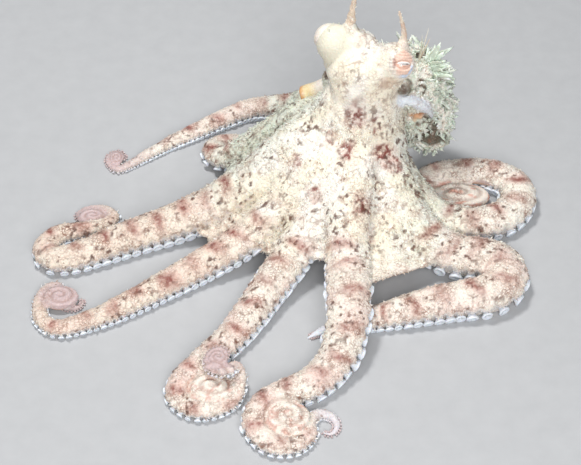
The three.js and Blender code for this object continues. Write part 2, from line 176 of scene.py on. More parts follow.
SUCKER_OUT = 14  # how long a stretch of the arm they take to come out
SUCKER_BEND_ROOM = 0.72
SUCKER_AROUND = 14
# Each ring's radius and height, over the sucker's radius, and how pale it is, as painted shade: pale on the
# rim, darker down inside the cup and on the stalk under it.
SUCKER_PROFILE = [
    (0.6, -1.5, 0.86), (0.6, -0.8, 0.86), (0.7, -0.4, 0.9), (0.98, -0.05, 0.98), (1.06, 0.12, 1),
    (1.0, 0.28, 1), (0.84, 0.34, 0.97), (0.64, 0.2, 0.88), (0.42, 0.08, 0.8), (0.3, -0.06, 0.7),
    (0.24, -0.4, 0.55),
]
SUCKER_FRILLED = range(3, 7)  # the rings of the rim
# Painted shade at the two hubs: the foot of the stalk and the bottom of the cup.
SUCKER_HUB_PAINTED_SHADES = [0.86, 0.5]
CROWN_RINGS = [
    (18, 9, 3.5, 9, 9), (18, 10, 6, 15, 14), (18.5, 12, 14, 18.5, 16), (19.5, 15, 24, 18, 14.5),
    (20.8, 17.5, 34, 15.4, 12), (22.3, 19.8, 42.5, 12.4, 10.4), (23, 21, 48, 8, 7),
]
BULB = ((13.6, 25.6, 57), (6.1, 6.5, 6.5))  # the smooth mound over the right eye
HEAD_BLOBS = [
    ((23.4, 21, 49.8), (12.6, 9.8, 9.6)),
    BULB,
    ((15.4, 24.4, 52), (5.6, 6, 6)),
    ((31.8, 18.6, 55), (6.4, 6.4, 6.8)),
    ((20.8, 24.6, 57.4), (6.4, 5, 5.4)),
    ((28.5, 26.5, 47), (9, 7, 8)),
    ((18.2, 26.2, 62), (2.9, 2.9, 3.6)),
    ((22.6, 16.4, 45.5), (10.2, 6.4, 8.5)),
]
MANTLE_RINGS = [
    (30, 27, 52.6, 3.4), (32, 28, 51, 7.6), (35.6, 30, 45.6, 11.2), (38.6, 31.5, 38, 12.7),
    (41, 32, 29, 12.4), (43.4, 32, 20, 10.4), (45.4, 31.5, 13, 7.2), (46.4, 31, 9.4, 3.1),
]
MANTLE_COAT = 1.2  # how far the mantle's skin lies inside its solid, under the tufts
EYE_PLACES = {"eye_right": (12.2, 26.8, 57.6), "eye_left": (33.2, 17, 55.9)}
EYE_LOOKS = {"eye_right": (-0.6, 0.72, 0.34), "eye_left": (0.26, -0.76, 0.6)}
EYE_TOPS = {"eye_right": (0, 0, 1), "eye_left": (0, 0.7, 0.7)}
EYE_RADIUS = 4.5
EYE_AROUND = 72
HORNS = {
    "horn_right": {"spine": [(17.8, 26, 59), (18.6, 26.5, 67), (19.8, 27, 76)], "radii": [2.3, 1.1, 0.3]},
    "horn_left": {"spine": [(33.6, 19.4, 58.5), (34.4, 20, 65), (32.6, 21, 72.8)], "radii": [1.8, 0.9, 0.3]},
}
FUNNEL = {"root": (18, 31.5, 37), "tip": (4.6, 33, 30), "root_radius": 4.2, "tip_radius": 3.1, "bore": 1.9}
MANTLE_AXIS_TURN = 0.94  # depth of the mantle over its width

LID_ACROSS, LID_TOP, LID_BOTTOM = 0.58, 0.2, 0.36  # half openings of a lid, as angles at the eye's middle
LID_REACH = 1.5  # the angle of a lid's outer edge
LID_FOLD = 0.95  # between the folds of a lid
LID_AROUND, LID_RINGS = 160, 64
HORN_KNOBS = 46
KNOB_MARGIN = 6  # steps of the horn's middle line that carry no knobs, at each end
HORN_AROUND, FUNNEL_AROUND, COLLAR_AROUND = 40, 64, 16
COAT_SPACING = 0.88
COAT_PIECE_TRIANGLES = 180000
PAPILLA_TRIANGLES = 12
TUFT_SPACING = 1.9
TUFT_HANG = (0.1, 0.15, 0.1)
TWIG_BLADES = 4  # a tall tuft of no more blades than this is a thin twig
BRANCHES = 5
FLOOR_REACH = 3  # in metres
FLOOR_DARK, FLOOR_LIGHT = (0.455, 0.46, 0.47), (0.485, 0.49, 0.5)
SKY = (0.93, 0.96, 1)
WORLD_STRENGTH = 0.28
# Each light's place, power, size and colour, in metres and watts.
LIGHTS = {
    "key": ((-0.12, 0.14, 0.58), 2.35, 0.11, (1, 1, 0.99)),
    "fill": ((0.06, -0.52, 0.42), 3.4, 0.4, (1, 1, 1)),
}

eye_low, eye_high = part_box("eye_left")
ROW_PLACE = np.array((eye_low + eye_high) / 2) / MM - np.array(EYE_PLACES["eye_left"])


# ---------------- numbers
# Large odd numbers that scramble the numbers of cells.
HASH_MIXERS = np.array([374761393, 668265263, 2246822519, 3266489917], np.uint32)
CELL_MIXERS = np.array([73856093, 19349663, 83492791])


def unit(v):
    """Each row at a length of one."""
    v = np.asarray(v, float)
    return v / np.maximum(np.linalg.norm(v, axis=-1, keepdims=True), 1e-9)


def dot(a, b):
    """The dot product of each row of a with the same row of b."""
    return np.einsum("ij,ij->i", a, b)


def perpendiculars(directions):
    """Two directions at right angles to each one given, and to each other."""
    away = np.where(np.abs(directions[:, 2:3]) < 0.8, (0.0, 0.0, 1.0), (1.0, 0.0, 0.0))
    first = unit(np.cross(directions, away))
    return first, np.cross(directions, first)


def smooth(x, low, high):
    """0 below low, 1 above high and a smooth rise between; low may be the larger for a fall."""
    t = np.clip((x - low) / (high - low), 0, 1)
    return t * t * (3 - 2 * t)


def hashed(cells, seed):
    """A number from 0 to 1 for each whole-numbered cell."""
    whole = cells.astype(np.int64).astype(np.uint32)
    mixed = sum(whole[..., k] * HASH_MIXERS[k] for k in range(3))
    mixed = mixed + np.uint32((seed * int(HASH_MIXERS[3])) % 2**32)
    for shift, mixer in ((15, HASH_MIXERS[2]), (13, HASH_MIXERS[3])):
        mixed = (mixed ^ (mixed >> np.uint32(shift))) * mixer
    return (mixed ^ (mixed >> np.uint32(16))).astype(float) / 2**32


def noise(points, size, seed=0):
    """Smooth noise from -1 to 1 with lumps of about the given size."""
    scaled = np.asarray(points, float) / size
    cell = np.floor(scaled)
    inside = smooth(scaled - cell, 0, 1)
    total = np.zeros(scaled.shape[:-1])
    for corner in np.ndindex(2, 2, 2):
        share = np.prod(np.where(corner, inside, 1 - inside), axis=-1)
        total += share * hashed(cell + corner, seed)
    return 2 * total - 1


def layered(points, size, seed=0, layers=3):
    """Noise with finer and weaker layers on it."""
    total = sum(0.5**k * noise(points, size * 0.5**k, seed + 31 * k) for k in range(layers))
    return total / 1.5


def near_any(points, places, soft):
    """1 inside any of the balls given as centre and radius, falling to 0 over the soft distance outside."""
    share = np.zeros(len(points))
    for centre, radius in places:
        far = np.linalg.norm(points - centre, axis=1)
        share = np.maximum(share, smooth(far, radius + soft, radius))
    return share


def curve_through(points, steps, closed=False):
    """Points of a smooth curve through the given ones."""
    given = np.asarray(points, float)
    if closed:
        given = np.vstack([given[-1:], given, given[:2]])
    else:
        given = np.vstack([2 * given[0] - given[1], given, 2 * given[-1] - given[-2]])
    t = (np.arange(steps) / steps)[:, None]
    pieces = []
    for a, b, c, d in zip(given[:-3], given[1:-2], given[2:-1], given[3:]):
        into, out = (c - a) / 2, (d - b) / 2
        cubic = 2 * b - 2 * c + into + out
        square = 3 * c - 3 * b - 2 * into - out
        pieces.append(cubic * t**3 + square * t**2 + into * t + b)
    if not closed:
        pieces.append(given[-2:-1])
    return np.vstack(pieces)


def turns(around):
    """Angles at even steps round a circle."""
    return np.linspace(0, 2 * math.pi, around, endpoint=False)


def hoops(first, second, around):
    """Circles of points spanned by each pair of directions: a row of points for each pair."""
    turn = turns(around)[None, :, None]
    return first[:, None] * np.cos(turn) + second[:, None] * np.sin(turn)


def nearest(samples, points):
    """The number of the sample nearest to each point, and how far away it is."""
    tree = KDTree(len(samples))
    for k, sample in enumerate(samples):
        tree.insert(sample, k)
    tree.balance()
    found = np.array([tree.find(p)[1:] for p in points])
    return found[:, 0].astype(int), found[:, 1]


# ---------------- meshes
class Solid:
    """Points and faces of one or more closed shapes, in millimetres."""

    def __init__(self):
        self.points, self.faces, self.count = [], [], 0

    def add(self, points, faces):
        self.points.append(points)
        self.faces.append(faces + self.count)
        self.count += len(points)

    def arrays(self):
        return np.vstack(self.points), np.vstack(self.faces)


def add_object(name, data):
    obj = bpy.data.objects.new(name, data)
    bpy.context.scene.collection.objects.link(obj)
    return obj


def make_mesh(name, points, faces):
    """A smooth mesh object in the frame's place. A triangle among quads repeats its last corner."""
    mesh = bpy.data.meshes.new(name)
    points = (np.asarray(points) + ROW_PLACE) * MM
    faces = np.asarray(faces)
    keep = np.ones(faces.shape, bool)
    if faces.shape[1] == 4:
        keep[:, 3] = faces[:, 3] != faces[:, 2]
    sizes = keep.sum(1)
    mesh.vertices.add(len(points))
    mesh.vertices.foreach_set("co", points.astype(np.float32).ravel())
    mesh.loops.add(int(sizes.sum()))
    mesh.loops.foreach_set("vertex_index", faces[keep].astype(np.int32))
    mesh.polygons.add(len(faces))
    mesh.polygons.foreach_set("loop_start", np.concatenate([[0], np.cumsum(sizes)[:-1]]).astype(np.int32))
    mesh.update(calc_edges=True)
    mesh.validate()
    mesh.shade_smooth()
    return add_object(name, mesh)


def ring_quads(rings, around):
    """Quads between rings of points."""
    k, i = np.meshgrid(np.arange(rings - 1), np.arange(around), indexing="ij")
    j = (i + 1) % around
    quads = np.stack([k * around + i, k * around + j, (k + 1) * around + j, (k + 1) * around + i], -1)
    return quads.reshape(-1, 4)


def fan(start, around, hub):
    """Triangles from a ring's points to its hub, with the hub twice so that they stand among quads."""
    i = np.arange(around)
    hubs = np.full(around, hub)
    return np.stack([start + i, start + (i + 1) % around, hubs, hubs], -1)


def loft(rings):
    """A closed skin over an array of rings, points and coordinates, with a hub at each end."""
    rings = np.asarray(rings)
    count, around = rings.shape[:2]
    points = np.vstack([rings.reshape(-1, 3), rings[0].mean(0), rings[-1].mean(0)])
    hub = count * around
    first = fan(0, around, hub)[:, [1, 0, 2, 3]]
    return points, np.vstack([ring_quads(count, around), first, fan(hub - around, around, hub + 1)])


def ball(centre, radii, across=40, down=24):
    """A closed ellipsoid, as a loft of level rings."""
    tilt = np.linspace(-math.pi / 2, math.pi / 2, down + 1)[1:-1, None]
    turn = turns(across)[None]
    rings = np.stack([np.cos(tilt) * np.cos(turn), np.cos(tilt) * np.sin(turn), np.sin(tilt) + 0 * turn], -1)
    points, faces = loft(rings)
    points[-2:] = [(0, 0, -1), (0, 0, 1)]
    return points * radii + centre, faces


def mesh_arrays(obj):
    """An object's points in millimetres, its normals and its triangles."""
    mesh = obj.data
    points = np.empty(len(mesh.vertices) * 3, np.float32)
    mesh.vertices.foreach_get("co", points)
    normals = np.empty(len(mesh.vertices) * 3, np.float32)
    mesh.vertices.foreach_get("normal", normals)
    mesh.calc_loop_triangles()
    triangles = np.empty(len(mesh.loop_triangles) * 3, np.int32)
    mesh.loop_triangles.foreach_get("vertices", triangles)
    points = points.reshape(-1, 3).astype(float) / MM - ROW_PLACE
    return points, normals.reshape(-1, 3).astype(float), triangles.reshape(-1, 3)


def set_points(obj, points):
    obj.data.vertices.foreach_set("co", ((points + ROW_PLACE) * MM).astype(np.float32).ravel())
    obj.data.update()


def set_attribute(obj, name, values):
    """A number or a colour for each point, which the materials read."""
    values = np.asarray(values, np.float32)
    if values.ndim == 1:
        obj.data.attributes.new(name, "FLOAT", "POINT").data.foreach_set("value", values)
    else:
        colours = np.column_stack([values, np.ones(len(values), np.float32)])
        obj.data.attributes.new(name, "FLOAT_COLOR", "POINT").data.foreach_set("color", colours.ravel())


def painted_mesh(name, points, faces, colours, net):
    """A mesh with its colours and the strength of its netting, given as one number or one for each point."""
    obj = make_mesh(name, points, faces)
    set_attribute(obj, "tint", colours)
    set_attribute(obj, "net", net + np.zeros(len(points)))
    return obj


# ---------------- arms
def sucker_spacing(width):
    """The step between the suckers of a row, where the arm is as wide as given."""
    return np.clip(SUCKER_STEP * width, 0.8, 4.4)


class Arm:
    """An arm's centre line of the sole, sampled finely, with its directions and width."""

    STEP = 0.25

    def __init__(self, width, taper, sole):
        line = curve_through(sole, 60)
        arc = np.concatenate([[0], np.cumsum(np.linalg.norm(np.diff(line, axis=0), axis=1))])
        self.length = arc[-1]
        self.s = np.linspace(0, self.length, int(self.length / self.STEP))
        self.at = np.column_stack([np.interp(self.s, arc, line[:, k]) for k in range(3)])
        self.along = unit(np.gradient(self.at, axis=0))
        self.side = unit(np.cross(self.along, (0, 0, 1)))
        self.up = np.cross(self.side, self.along)
        self.width = TIP_WIDTH + (width - TIP_WIDTH) * (1 - (self.s / self.length) ** taper)
        self.bend = dot(np.gradient(self.along, self.s, axis=0), self.side)
        # How many suckers of a row lie before each place.
        beat = np.cumsum(1 / sucker_spacing(self.width)) * (self.s[1] - self.s[0])
        self.beat = beat - np.interp(SUCKER_START, self.s, beat)

    def index(self, s):
        """The numbers of the samples nearest to distances s along the arm."""
        last = len(self.s) - 1
        return np.clip(np.round(np.asarray(s) / self.length * last), 0, last).astype(int)

    def skin_points(self, s, across, high):
        """Points of the skin at distances s, for places of the section as shares of width and height."""
        i = self.index(s)
        width = self.width[i] - 2 * COAT
        out = across * width
        bend = self.bend[i]
        tight = out * bend > BEND_ROOM
        out = np.where(tight, BEND_ROOM / np.where(tight, bend, 1), out)
        lift = high * width * ARM_FLATNESS
        points = self.at[i] + self.side[i] * out[..., None] + self.up[i] * lift[..., None]
        points[..., 2] = np.maximum(points[..., 2], 0)
        return points


ARM = {name: Arm(**facts) for name, facts in ARMS.items()}
SECTION = curve_through(ARM_SECTION, 5, closed=True)


def arm_tube(arm):
    """An arm as a closed tube of the arm section."""
    s = np.arange(0, arm.length, ARM_RING_STEP)
    grid_s, turn = np.meshgrid(s, np.arange(len(SECTION)), indexing="ij")
    return loft(arm.skin_points(grid_s, SECTION[turn, 0], SECTION[turn, 1]))


def web_sheet(name_a, name_b, reach_a, reach_b, bite):
    """A thin sheet between two arms, thickest near the crown, with a hollow free edge."""
    u, j = np.meshgrid(np.linspace(0, 1, WEB_ACROSS), np.linspace(0, 1, WEB_ALONG), indexing="ij")
    v = WEB_START + (1 - bite * np.sin(math.pi * u) - WEB_START) * j
    ends = []
    for arm, reach in ((ARM[name_a], reach_a), (ARM[name_b], reach_b)):
        i = arm.index(v * reach)
        ends.append(arm.at[i] + arm.up[i] * (WEB_HIGH * ARM_FLATNESS * (arm.width[i] - 2 * COAT))[..., None])
    top = ends[0] + (ends[1] - ends[0]) * u[..., None]
    thick = WEB_THICKNESS * (1.15 - 0.45 * j)
    top[..., 2] -= WEB_SAG * np.sin(math.pi * u) * v
    top[..., 2] = np.maximum(top[..., 2], thick + 0.5)
    low = top.copy()
    low[..., 2] -= thick
    # Each ring runs over the top of the sheet and back under it.
    points, faces = loft(np.concatenate([top, low[:, ::-1]], axis=1))
    edge = 0.5 * (top[:, -1] + low[:, -1])
    outward = unit(top[:, -1] - top[:, -4])
    return points, faces, edge, outward


# ---------------- body
def level_rings(rings, depth_share=1.0, coat=COAT):
    """A closed loft through level rings (x, y, z, half width[, half depth])."""
    fine = curve_through(rings, RING_STEPS)
    turn = turns(BODY_AROUND)[None]
    width = fine[:, 3:4] - coat
    depth = fine[:, 4:5] - coat if fine.shape[1] > 4 else width * depth_share
    x, y, z = (fine[:, k : k + 1] for k in range(3))
    return loft(np.stack([x + width * np.cos(turn), y + depth * np.sin(turn), z + 0 * turn], -1))


def tube(spine, radii, around):
    """A closed round tube along a smooth curve through the spine's points."""
    line = curve_through(spine, 12)
    radius = np.interp(np.linspace(0, 1, len(line)), np.linspace(0, 1, len(radii)), radii)[:, None, None]
    return loft(line[:, None] + radius * hoops(*perpendiculars(unit(np.gradient(line, axis=0))), around))


# ---------------- colours
def paint(*rgb):
    """A colour given as it looks on a screen, 0 to 255, as light values."""
    screen = np.array(rgb) / 255
    return np.where(screen <= 0.04045, screen / 12.92, ((screen + 0.055) / 1.055) ** 2.4)


CREAM = paint(241, 232, 220)
IVORY = paint(249, 245, 234)
ROSE = paint(236, 210, 203)
FLUSH = paint(210, 158, 144)
GREEN = paint(218, 230, 212)
# Olive serves as mottling on the crown and as painted shade in the mantle's hollows and under it.
OLIVE = paint(84, 78, 62)
BROWN = paint(140, 98, 80)
RUST = paint(128, 56, 48)
TAN = paint(224, 200, 176)
HORN_TAN = paint(230, 210, 188)
MAUVE = paint(200, 178, 178)
PALE_BLUE = paint(234, 240, 248)
LID_PINK = paint(238, 204, 186)
LID_RED = paint(150, 76, 62)
GOLD = paint(240, 214, 140)
ORANGE = paint(216, 138, 66)
# Painted shade for the mantle's opening and the hollow beside the funnel.
CAVITY_SHADE = paint(92, 74, 64)
TUFT_PALE = paint(236, 247, 230)
STRAW = paint(246, 230, 192)
UMBER = paint(94, 62, 50)
BULB_CREAM = paint(234, 228, 208)
COIL_RED = paint(206, 112, 84)
WEB_WARM = paint(222, 184, 156)
SOLE_PALE = paint(240, 232, 228)
IRIS_PINK = paint(232, 184, 162)
IRIS_PALE = paint(246, 214, 196)
EYE_BLUE = paint(196, 210, 226)
# A painted highlight on the eye.
EYE_GLINT = paint(252, 250, 246)
PUPIL_DARK = paint(40, 22, 22)
LID_BLUE = paint(206, 222, 240)
GRAIN_WHITE = (1, 0.98, 0.94)


# ---------------- places of small forms and marks
# Folds of the neck and under the funnel: centre and radii.
NECK_FOLDS = [
    ((27, 27, 44), (9, 7, 9)),
    ((12.6, 31, 39), (3.4, 3, 4.4)),
    ((39.6, 20.4, 36.6), (2.6, 2.6, 4.6)),
    ((37, 19.2, 41), (2.4, 1.8, 2.4)),
]
# The thick edge of the mantle, from under the left eye down its side.
COLLAR = [
    (32.4, 16.8, 41.2), (35, 17.2, 41), (38.6, 17.8, 39.8), (42, 18.8, 37.4), (44, 21, 33), (45, 23, 27),
]
COLLAR_RADII = [1.0, 1.5, 1.7, 1.7, 1.4, 0.8]
# Hollows pressed into the skin: centre, radius and depth. The first is the opening of the mantle.
HOLLOWS = [
    ((35.8, 19.4, 44.6), 3.2, 3.2),
    ((12, 29.6, 41.5), 3.2, 1.5),
    ((48, 22, 40), 4.0, 2.0),
    ((40.4, 20.4, 32.6), 2.6, 1.4),
]


def along_collar(steps, count, radius):
    """Balls of one radius along the collar: its first count places at so many steps to each given point."""
    return [(place, radius) for place in curve_through(COLLAR, steps)[:count]]


# Smooth places that carry no papillae: the mantle's opening, the orange patch and the collar.
MANTLE_BARE = [((35.6, 20.4, 43.8), 3.6), ((40.4, 20.4, 32.4), 3.2), *along_collar(3, 13, 1.9)]
BAR_SPACING = 9.5  # between the red-brown bars along an arm
# Red-brown blotches: place, radius and strength.
BLOTCHES = [
    ((20.5, 9, 41), 4.6, 0.85),
    ((17, 2.8, 32.5), 4.0, 0.85),
    ((29.5, 4.7, 29.5), 4.4, 0.85),
    ((32.5, 3, 26.8), 3.2, 0.7),
    ((7.6, -6.6, 23), 3.4, 0.8),
    ((23, -10.5, 22.5), 4.2, 0.9),
    ((20.5, -14, 21.5), 2.6, 0.6),
    ((26.4, 7.4, 38.5), 2.8, 0.6),
    ((12.3, 7.4, 33.4), 2.8, 0.45),
    ((25, -17, 15), 3.0, 0.6),
    ((2, 4, 27), 3.6, 0.6),
    ((-4, 14, 21), 4.0, 0.55),
    ((34, 26, 26), 4.4, 0.5),
    ((10, 30, 28), 4.2, 0.5),
    ((24, 33, 30), 4.4, 0.5),
]
# Long tufts: root, direction, length, spread, number of papillae and colour.
TALL_TUFTS = [
    ((42.5, 28.5, 45), (0.66, 0.1, 0.75), 11.0, 0.4, 46, GREEN),
    ((44.5, 27.5, 44), (0.8, -0.2, 0.42), 7.0, 0.5, 22, GREEN),
    ((45.5, 29, 42), (0.9, 0.0, 0.2), 5.0, 0.5, 14, IVORY),
    ((50, 31, 38.5), (1, 0.1, 0.3), 4.0, 0.5, 10, GREEN),
    ((52, 31, 30), (1, -0.2, 0.1), 3.4, 0.6, 10, IVORY),
    ((51, 31, 21), (0.9, -0.3, -0.2), 3.4, 0.6, 10, GREEN),
    ((28.6, 21.6, 58.6), (0.05, 0.2, 1), 3.2, 0.25, 4, IVORY),
    ((40.5, 28, 49), (0.28, 0.0, 1), 12.0, 0.16, 3, TAN),
    ((23, 27, 60.5), (-0.1, 0.5, 1), 2.6, 0.3, 4, IVORY),
]
# Other patches of colour: place, radius, colour and strength. The olive and dark ones are painted shade, in
# hollows, in the mantle's opening and under the mantle.
PATCHES = [
    ((30.5, 13.6, 51.6), 3.6, TAN, 0.6),
    ((28.6, 13.2, 50.4), 2.2, BROWN, 0.35),
    ((21, 21, 62), 3.6, TAN, 0.3),
    # Painted shade in the hollow beside the funnel.
    ((12, 30, 41.4), 3.6, CAVITY_SHADE, 0.9),
    ((14.5, 28, 35), 4.0, GREEN, 0.6),
    # Painted shade in a hollow of the mantle, and under the mantle's lower end.
    ((48, 22, 40), 3.4, OLIVE, 0.7),
    ((46, 30, 12), 6.0, OLIVE, 0.8),
    ((40.6, 20, 32.2), 4.2, ORANGE, 0.9),
    # Painted shade in the mantle's opening.
    ((35.6, 20.8, 43.4), 3.3, CAVITY_SHADE, 0.97),
]


# ---------------- one body, one skin
def one_body():
    """Every form of flesh, as closed shapes that pass through each other."""
    body = Solid()
    for arm in ARM.values():
        body.add(*arm_tube(arm))
    for centre, radii in COIL_MIDDLES.values():
        body.add(*ball(centre, np.array(radii) - 0.5 * COAT))
    for web in WEBS:
        body.add(*web_sheet(*web)[:2])
    body.add(*level_rings(CROWN_RINGS))
    body.add(*level_rings(MANTLE_RINGS, MANTLE_AXIS_TURN, MANTLE_COAT))
    body.add(*tube(COLLAR, COLLAR_RADII, COLLAR_AROUND))
    for centre, radii in HEAD_BLOBS:
        body.add(*ball(centre, np.array(radii) - COAT))
    for centre, radii in NECK_FOLDS:
        body.add(*ball(centre, radii))
    return body.arrays()


def one_skin():
    """A single closed mesh over the whole body."""
    obj = make_mesh("skin", *one_body())
    remesh = obj.modifiers.new("one_skin", "REMESH")
    remesh.mode = "VOXEL"
    remesh.voxel_size = VOXEL * MM
    depsgraph = bpy.context.evaluated_depsgraph_get()
    mesh = bpy.data.meshes.new_from_object(obj.evaluated_get(depsgraph))
    obj.modifiers.clear()
    obj.data = mesh
    mesh.shade_smooth()
    return obj


# ---------------- where a point of the skin lies
def ring_distance(points, rings, depth_share=1.0):
    """Rough distance in millimetres outside a stack of level rings; large above and below it."""
    fine = curve_through(rings, RING_STEPS)
    fine = fine[np.argsort(fine[:, 2])]
    z = points[:, 2]
    x, y, width = (np.interp(z, fine[:, 2], fine[:, k]) for k in (0, 1, 3))
    depth = np.interp(z, fine[:, 2], fine[:, 4]) if fine.shape[1] > 4 else width * depth_share
    share = np.hypot((points[:, 0] - x) / width, (points[:, 1] - y) / depth)
    beyond = np.maximum(z - fine[-1, 2], 0) + np.maximum(fine[0, 2] - z, 0)
    return (share - 1) * np.minimum(width, depth) + beyond


def ball_distance(points, centre, radii):
    """Rough distance in millimetres outside an ellipsoid."""
    share = np.linalg.norm((points - np.array(centre)) / np.array(radii), axis=1)
    return (share - 1) * min(radii)


class Places:
    """For each point: the nearest arm and where on it, and how far the point is from the other forms."""

    SAMPLE_STEP = 4

    def __init__(self, points):
        picks = [np.arange(0, len(arm.s), self.SAMPLE_STEP) for arm in ARM.values()]
        middles = [
            arm.at[i] + arm.up[i] * (0.4 * ARM_FLATNESS * arm.width[i])[:, None]
            for arm, i in zip(ARM.values(), picks)
        ]
        sample = nearest(np.vstack(middles), points)[0]
        self.arm = np.repeat(np.arange(len(ARM)), [len(i) for i in picks])[sample]
        self.name = np.array(list(ARM))[self.arm]
        index = np.concatenate(picks)[sample]
        self.s, self.share, self.across, self.high, self.beat, self.width = np.zeros((6, len(points)))
        for k, arm in enumerate(ARM.values()):
            here = self.arm == k
            i = index[here]
            off = points[here] - arm.at[i]
            self.s[here] = arm.s[i] + dot(off, arm.along[i])
            self.width[here] = arm.width[i]
            self.across[here] = dot(off, arm.side[i]) / arm.width[i]
            self.high[here] = dot(off, arm.up[i]) / (ARM_FLATNESS * arm.width[i])
            self.share[here] = self.s[here] / arm.length
            self.beat[here] = np.interp(self.s[here], arm.s, arm.beat)
        self.on_arm = smooth(np.abs(self.across), 0.75, 0.55)
        self.head = np.min([ball_distance(points, *blob) for blob in HEAD_BLOBS], axis=0)
        self.bulb = ball_distance(points, *BULB)
        self.crown = ring_distance(points, CROWN_RINGS)
        self.mantle = ring_distance(points, MANTLE_RINGS, MANTLE_AXIS_TURN)
        clear = smooth(self.head, -0.4, 0.6) * smooth(self.crown, -1, 1)
        self.mantle_share = smooth(self.mantle, 1.6, 0.2) * clear
        self.crown_share = smooth(self.s, 62, 36) * smooth(self.mantle_share, 1, 0)
        self.tip_share = smooth(self.width, 5.6, 3.2) * (1 - self.crown_share)
        self.coils = {name: ball_distance(points, *coil) for name, coil in COIL_MIDDLES.items()}


def relax(points, edges, rounds):
    """Moves each point towards the middle of its neighbours, as many times as its own number of rounds."""
    a, b = edges.T
    count = len(points)
    degree = np.bincount(a, minlength=count) + np.bincount(b, minlength=count)
    for k in range(int(rounds.max())):
        pull = 0.5 * np.clip(rounds - k, 0, 1)
        sums = [np.bincount(a, points[b, c], count) + np.bincount(b, points[a, c], count) for c in range(3)]
        middle = np.column_stack(sums) / np.maximum(degree, 1)[:, None]
        points = points + (middle - points) * pull[:, None]
    return points


def softened(points, edges, places):
    """The points with the joins between the forms rounded, most of all where the neck runs into the crown."""
    soft = 3 + 60 * places.crown_share * smooth(places.s, 46, 30) * smooth(places.head, 0, 3)
    soft += 12 * smooth(places.head, 1.5, 0)
    neck = smooth(np.abs(points[:, 2] - NECK_HEIGHT), 9, 3) * (1 - places.mantle_share)
    soft += 60 * neck * (1 - near_any(points, MANTLE_BARE, 3)) * smooth(places.bulb, 1, 5)
    return relax(points, edges, soft * (FINE_VOXEL / VOXEL) ** 2)


def fine_relief(points, places):
    """Small lumps everywhere, but few on the bulb and the arm tips."""
    rough = 1 - 0.8 * smooth(places.bulb, 1.5, 0) - 0.5 * places.tip_share
    lift = 0.14 * layered(points, 1.5, 11, 2) * rough
    return lift + 0.28 * layered(points, 4.5, 3) * (1 - places.tip_share) * rough


def arm_relief(points, places):
    """Rings of wrinkles across the arms, and edges scalloped with a bulge over each sucker."""
    wave = 2 * math.pi * places.s / (0.9 + 0.09 * places.width) + 2.5 * noise(points, 5, 5)
    wrinkles = 0.08 * np.sin(wave) * smooth(places.s, 34, 50) * smooth(places.high, 0.3, 0.6)
    edge = smooth(np.abs(places.across), 0.3, 0.46) * smooth(places.high, 0.75, 0.5)
    edge *= smooth(places.s, 25, 45)
    beat = places.beat - 0.5 * (places.across > 0)
    scallops = (0.03 * places.width * np.cos(2 * math.pi * beat) - 0.1) * edge
    return (wrinkles + scallops) * places.on_arm


def coil_relief(points, places):
    """Turns of the closed coils. How far each point is down between them goes into places.groove."""
    lift = np.zeros(len(points))
    places.groove = np.zeros(len(points))
    for centre, radii in COIL_MIDDLES.values():
        off = (points - centre) / radii
        ring = np.hypot(off[:, 0], off[:, 1])
        turn = np.arctan2(off[:, 1], off[:, 0])
        groove = np.cos(2 * math.pi * (COIL_TURNS * ring - turn / (2 * math.pi)))
        inside = smooth(ring, 1.25, 0.9) * smooth(off[:, 2], 0.1, 0.6)
        lift += 0.07 * min(radii[:2]) * groove * inside
        places.groove = np.maximum(places.groove, smooth(-groove, 0.2, 1) * inside)
    return lift


def body_relief(points, places):
    """Lumps of the mantle, kept in places.relief, folds of the neck and the crown, and hollows."""
    places.relief = layered(points, 4.6, 21)
    lumps = 2.4 * places.relief + 0.7 * layered(points, 1.8, 22) - 0.8 * smooth(points[:, 2], 44, 50)
    lift = places.mantle_share * lumps
    lift += 0.22 * noise(points * (1, 1, 0.35), 2.4, 17) * places.crown_share * smooth(places.bulb, 0, 2)
    for centre, radius, depth in HOLLOWS:
        near = np.linalg.norm(points - np.array(centre), axis=1)
        lift -= depth * smooth(near, radius, 0.35 * radius)
    return lift


def shape_skin(obj):
    """Softens the joins of the forms and raises wrinkles, lumps and folds. Returns where each point lies."""
    points = mesh_arrays(obj)[0]
    edges = np.empty(len(obj.data.edges) * 2, np.int32)
    obj.data.edges.foreach_get("vertices", edges)
    places = Places(points)
    points = softened(points, edges.reshape(-1, 2), places)
    set_points(obj, points)
    normals = mesh_arrays(obj)[1]
    lift = sum(relief(points, places) for relief in (fine_relief, arm_relief, coil_relief, body_relief))
    points = points + normals * np.clip(lift, -DEEPEST, COAT + 0.5)[:, None]
    points[:, 2] = np.maximum(points[:, 2], 0.02)
    set_points(obj, points)
    return places


# ---------------- markings
def mix(colours, other, share):
    """The colours with another laid over them, from not at all at a share of 0 to fully at 1."""
    share = np.clip(np.asarray(share, float), 0, 1)[..., None]
    return colours * (1 - share) + other * share


def painted(count, ground, layers):
    """A ground colour for so many points, with layers of a colour and its share laid over it in turn."""
    colours = np.tile(ground, (count, 1))
    for shade, share in layers:
        colours = mix(colours, shade, share)
    return colours


def ground_layers(points, places):
    """Cream with ivory and rose patches, tanner on the arms, paler and in part straw on the crown."""
    crown = places.crown_share
    straw = smooth(layered(points, 7, 45), -0.2, 0.4) * crown
    return [
        (IVORY, 0.5 + 0.5 * layered(points, 9, 40)),
        (ROSE, 0.6 * smooth(noise(points, 6, 41), -0.3, 0.7) * (1 - 0.6 * crown)),
        (IVORY, 0.75 * crown + 0.6 * (places.name == "l3")),
        (TAN, (0.15 + 0.3 * np.isin(places.name, ("r2", "r3"))) * (1 - crown)),
        (STRAW, 0.38 * straw),
    ]


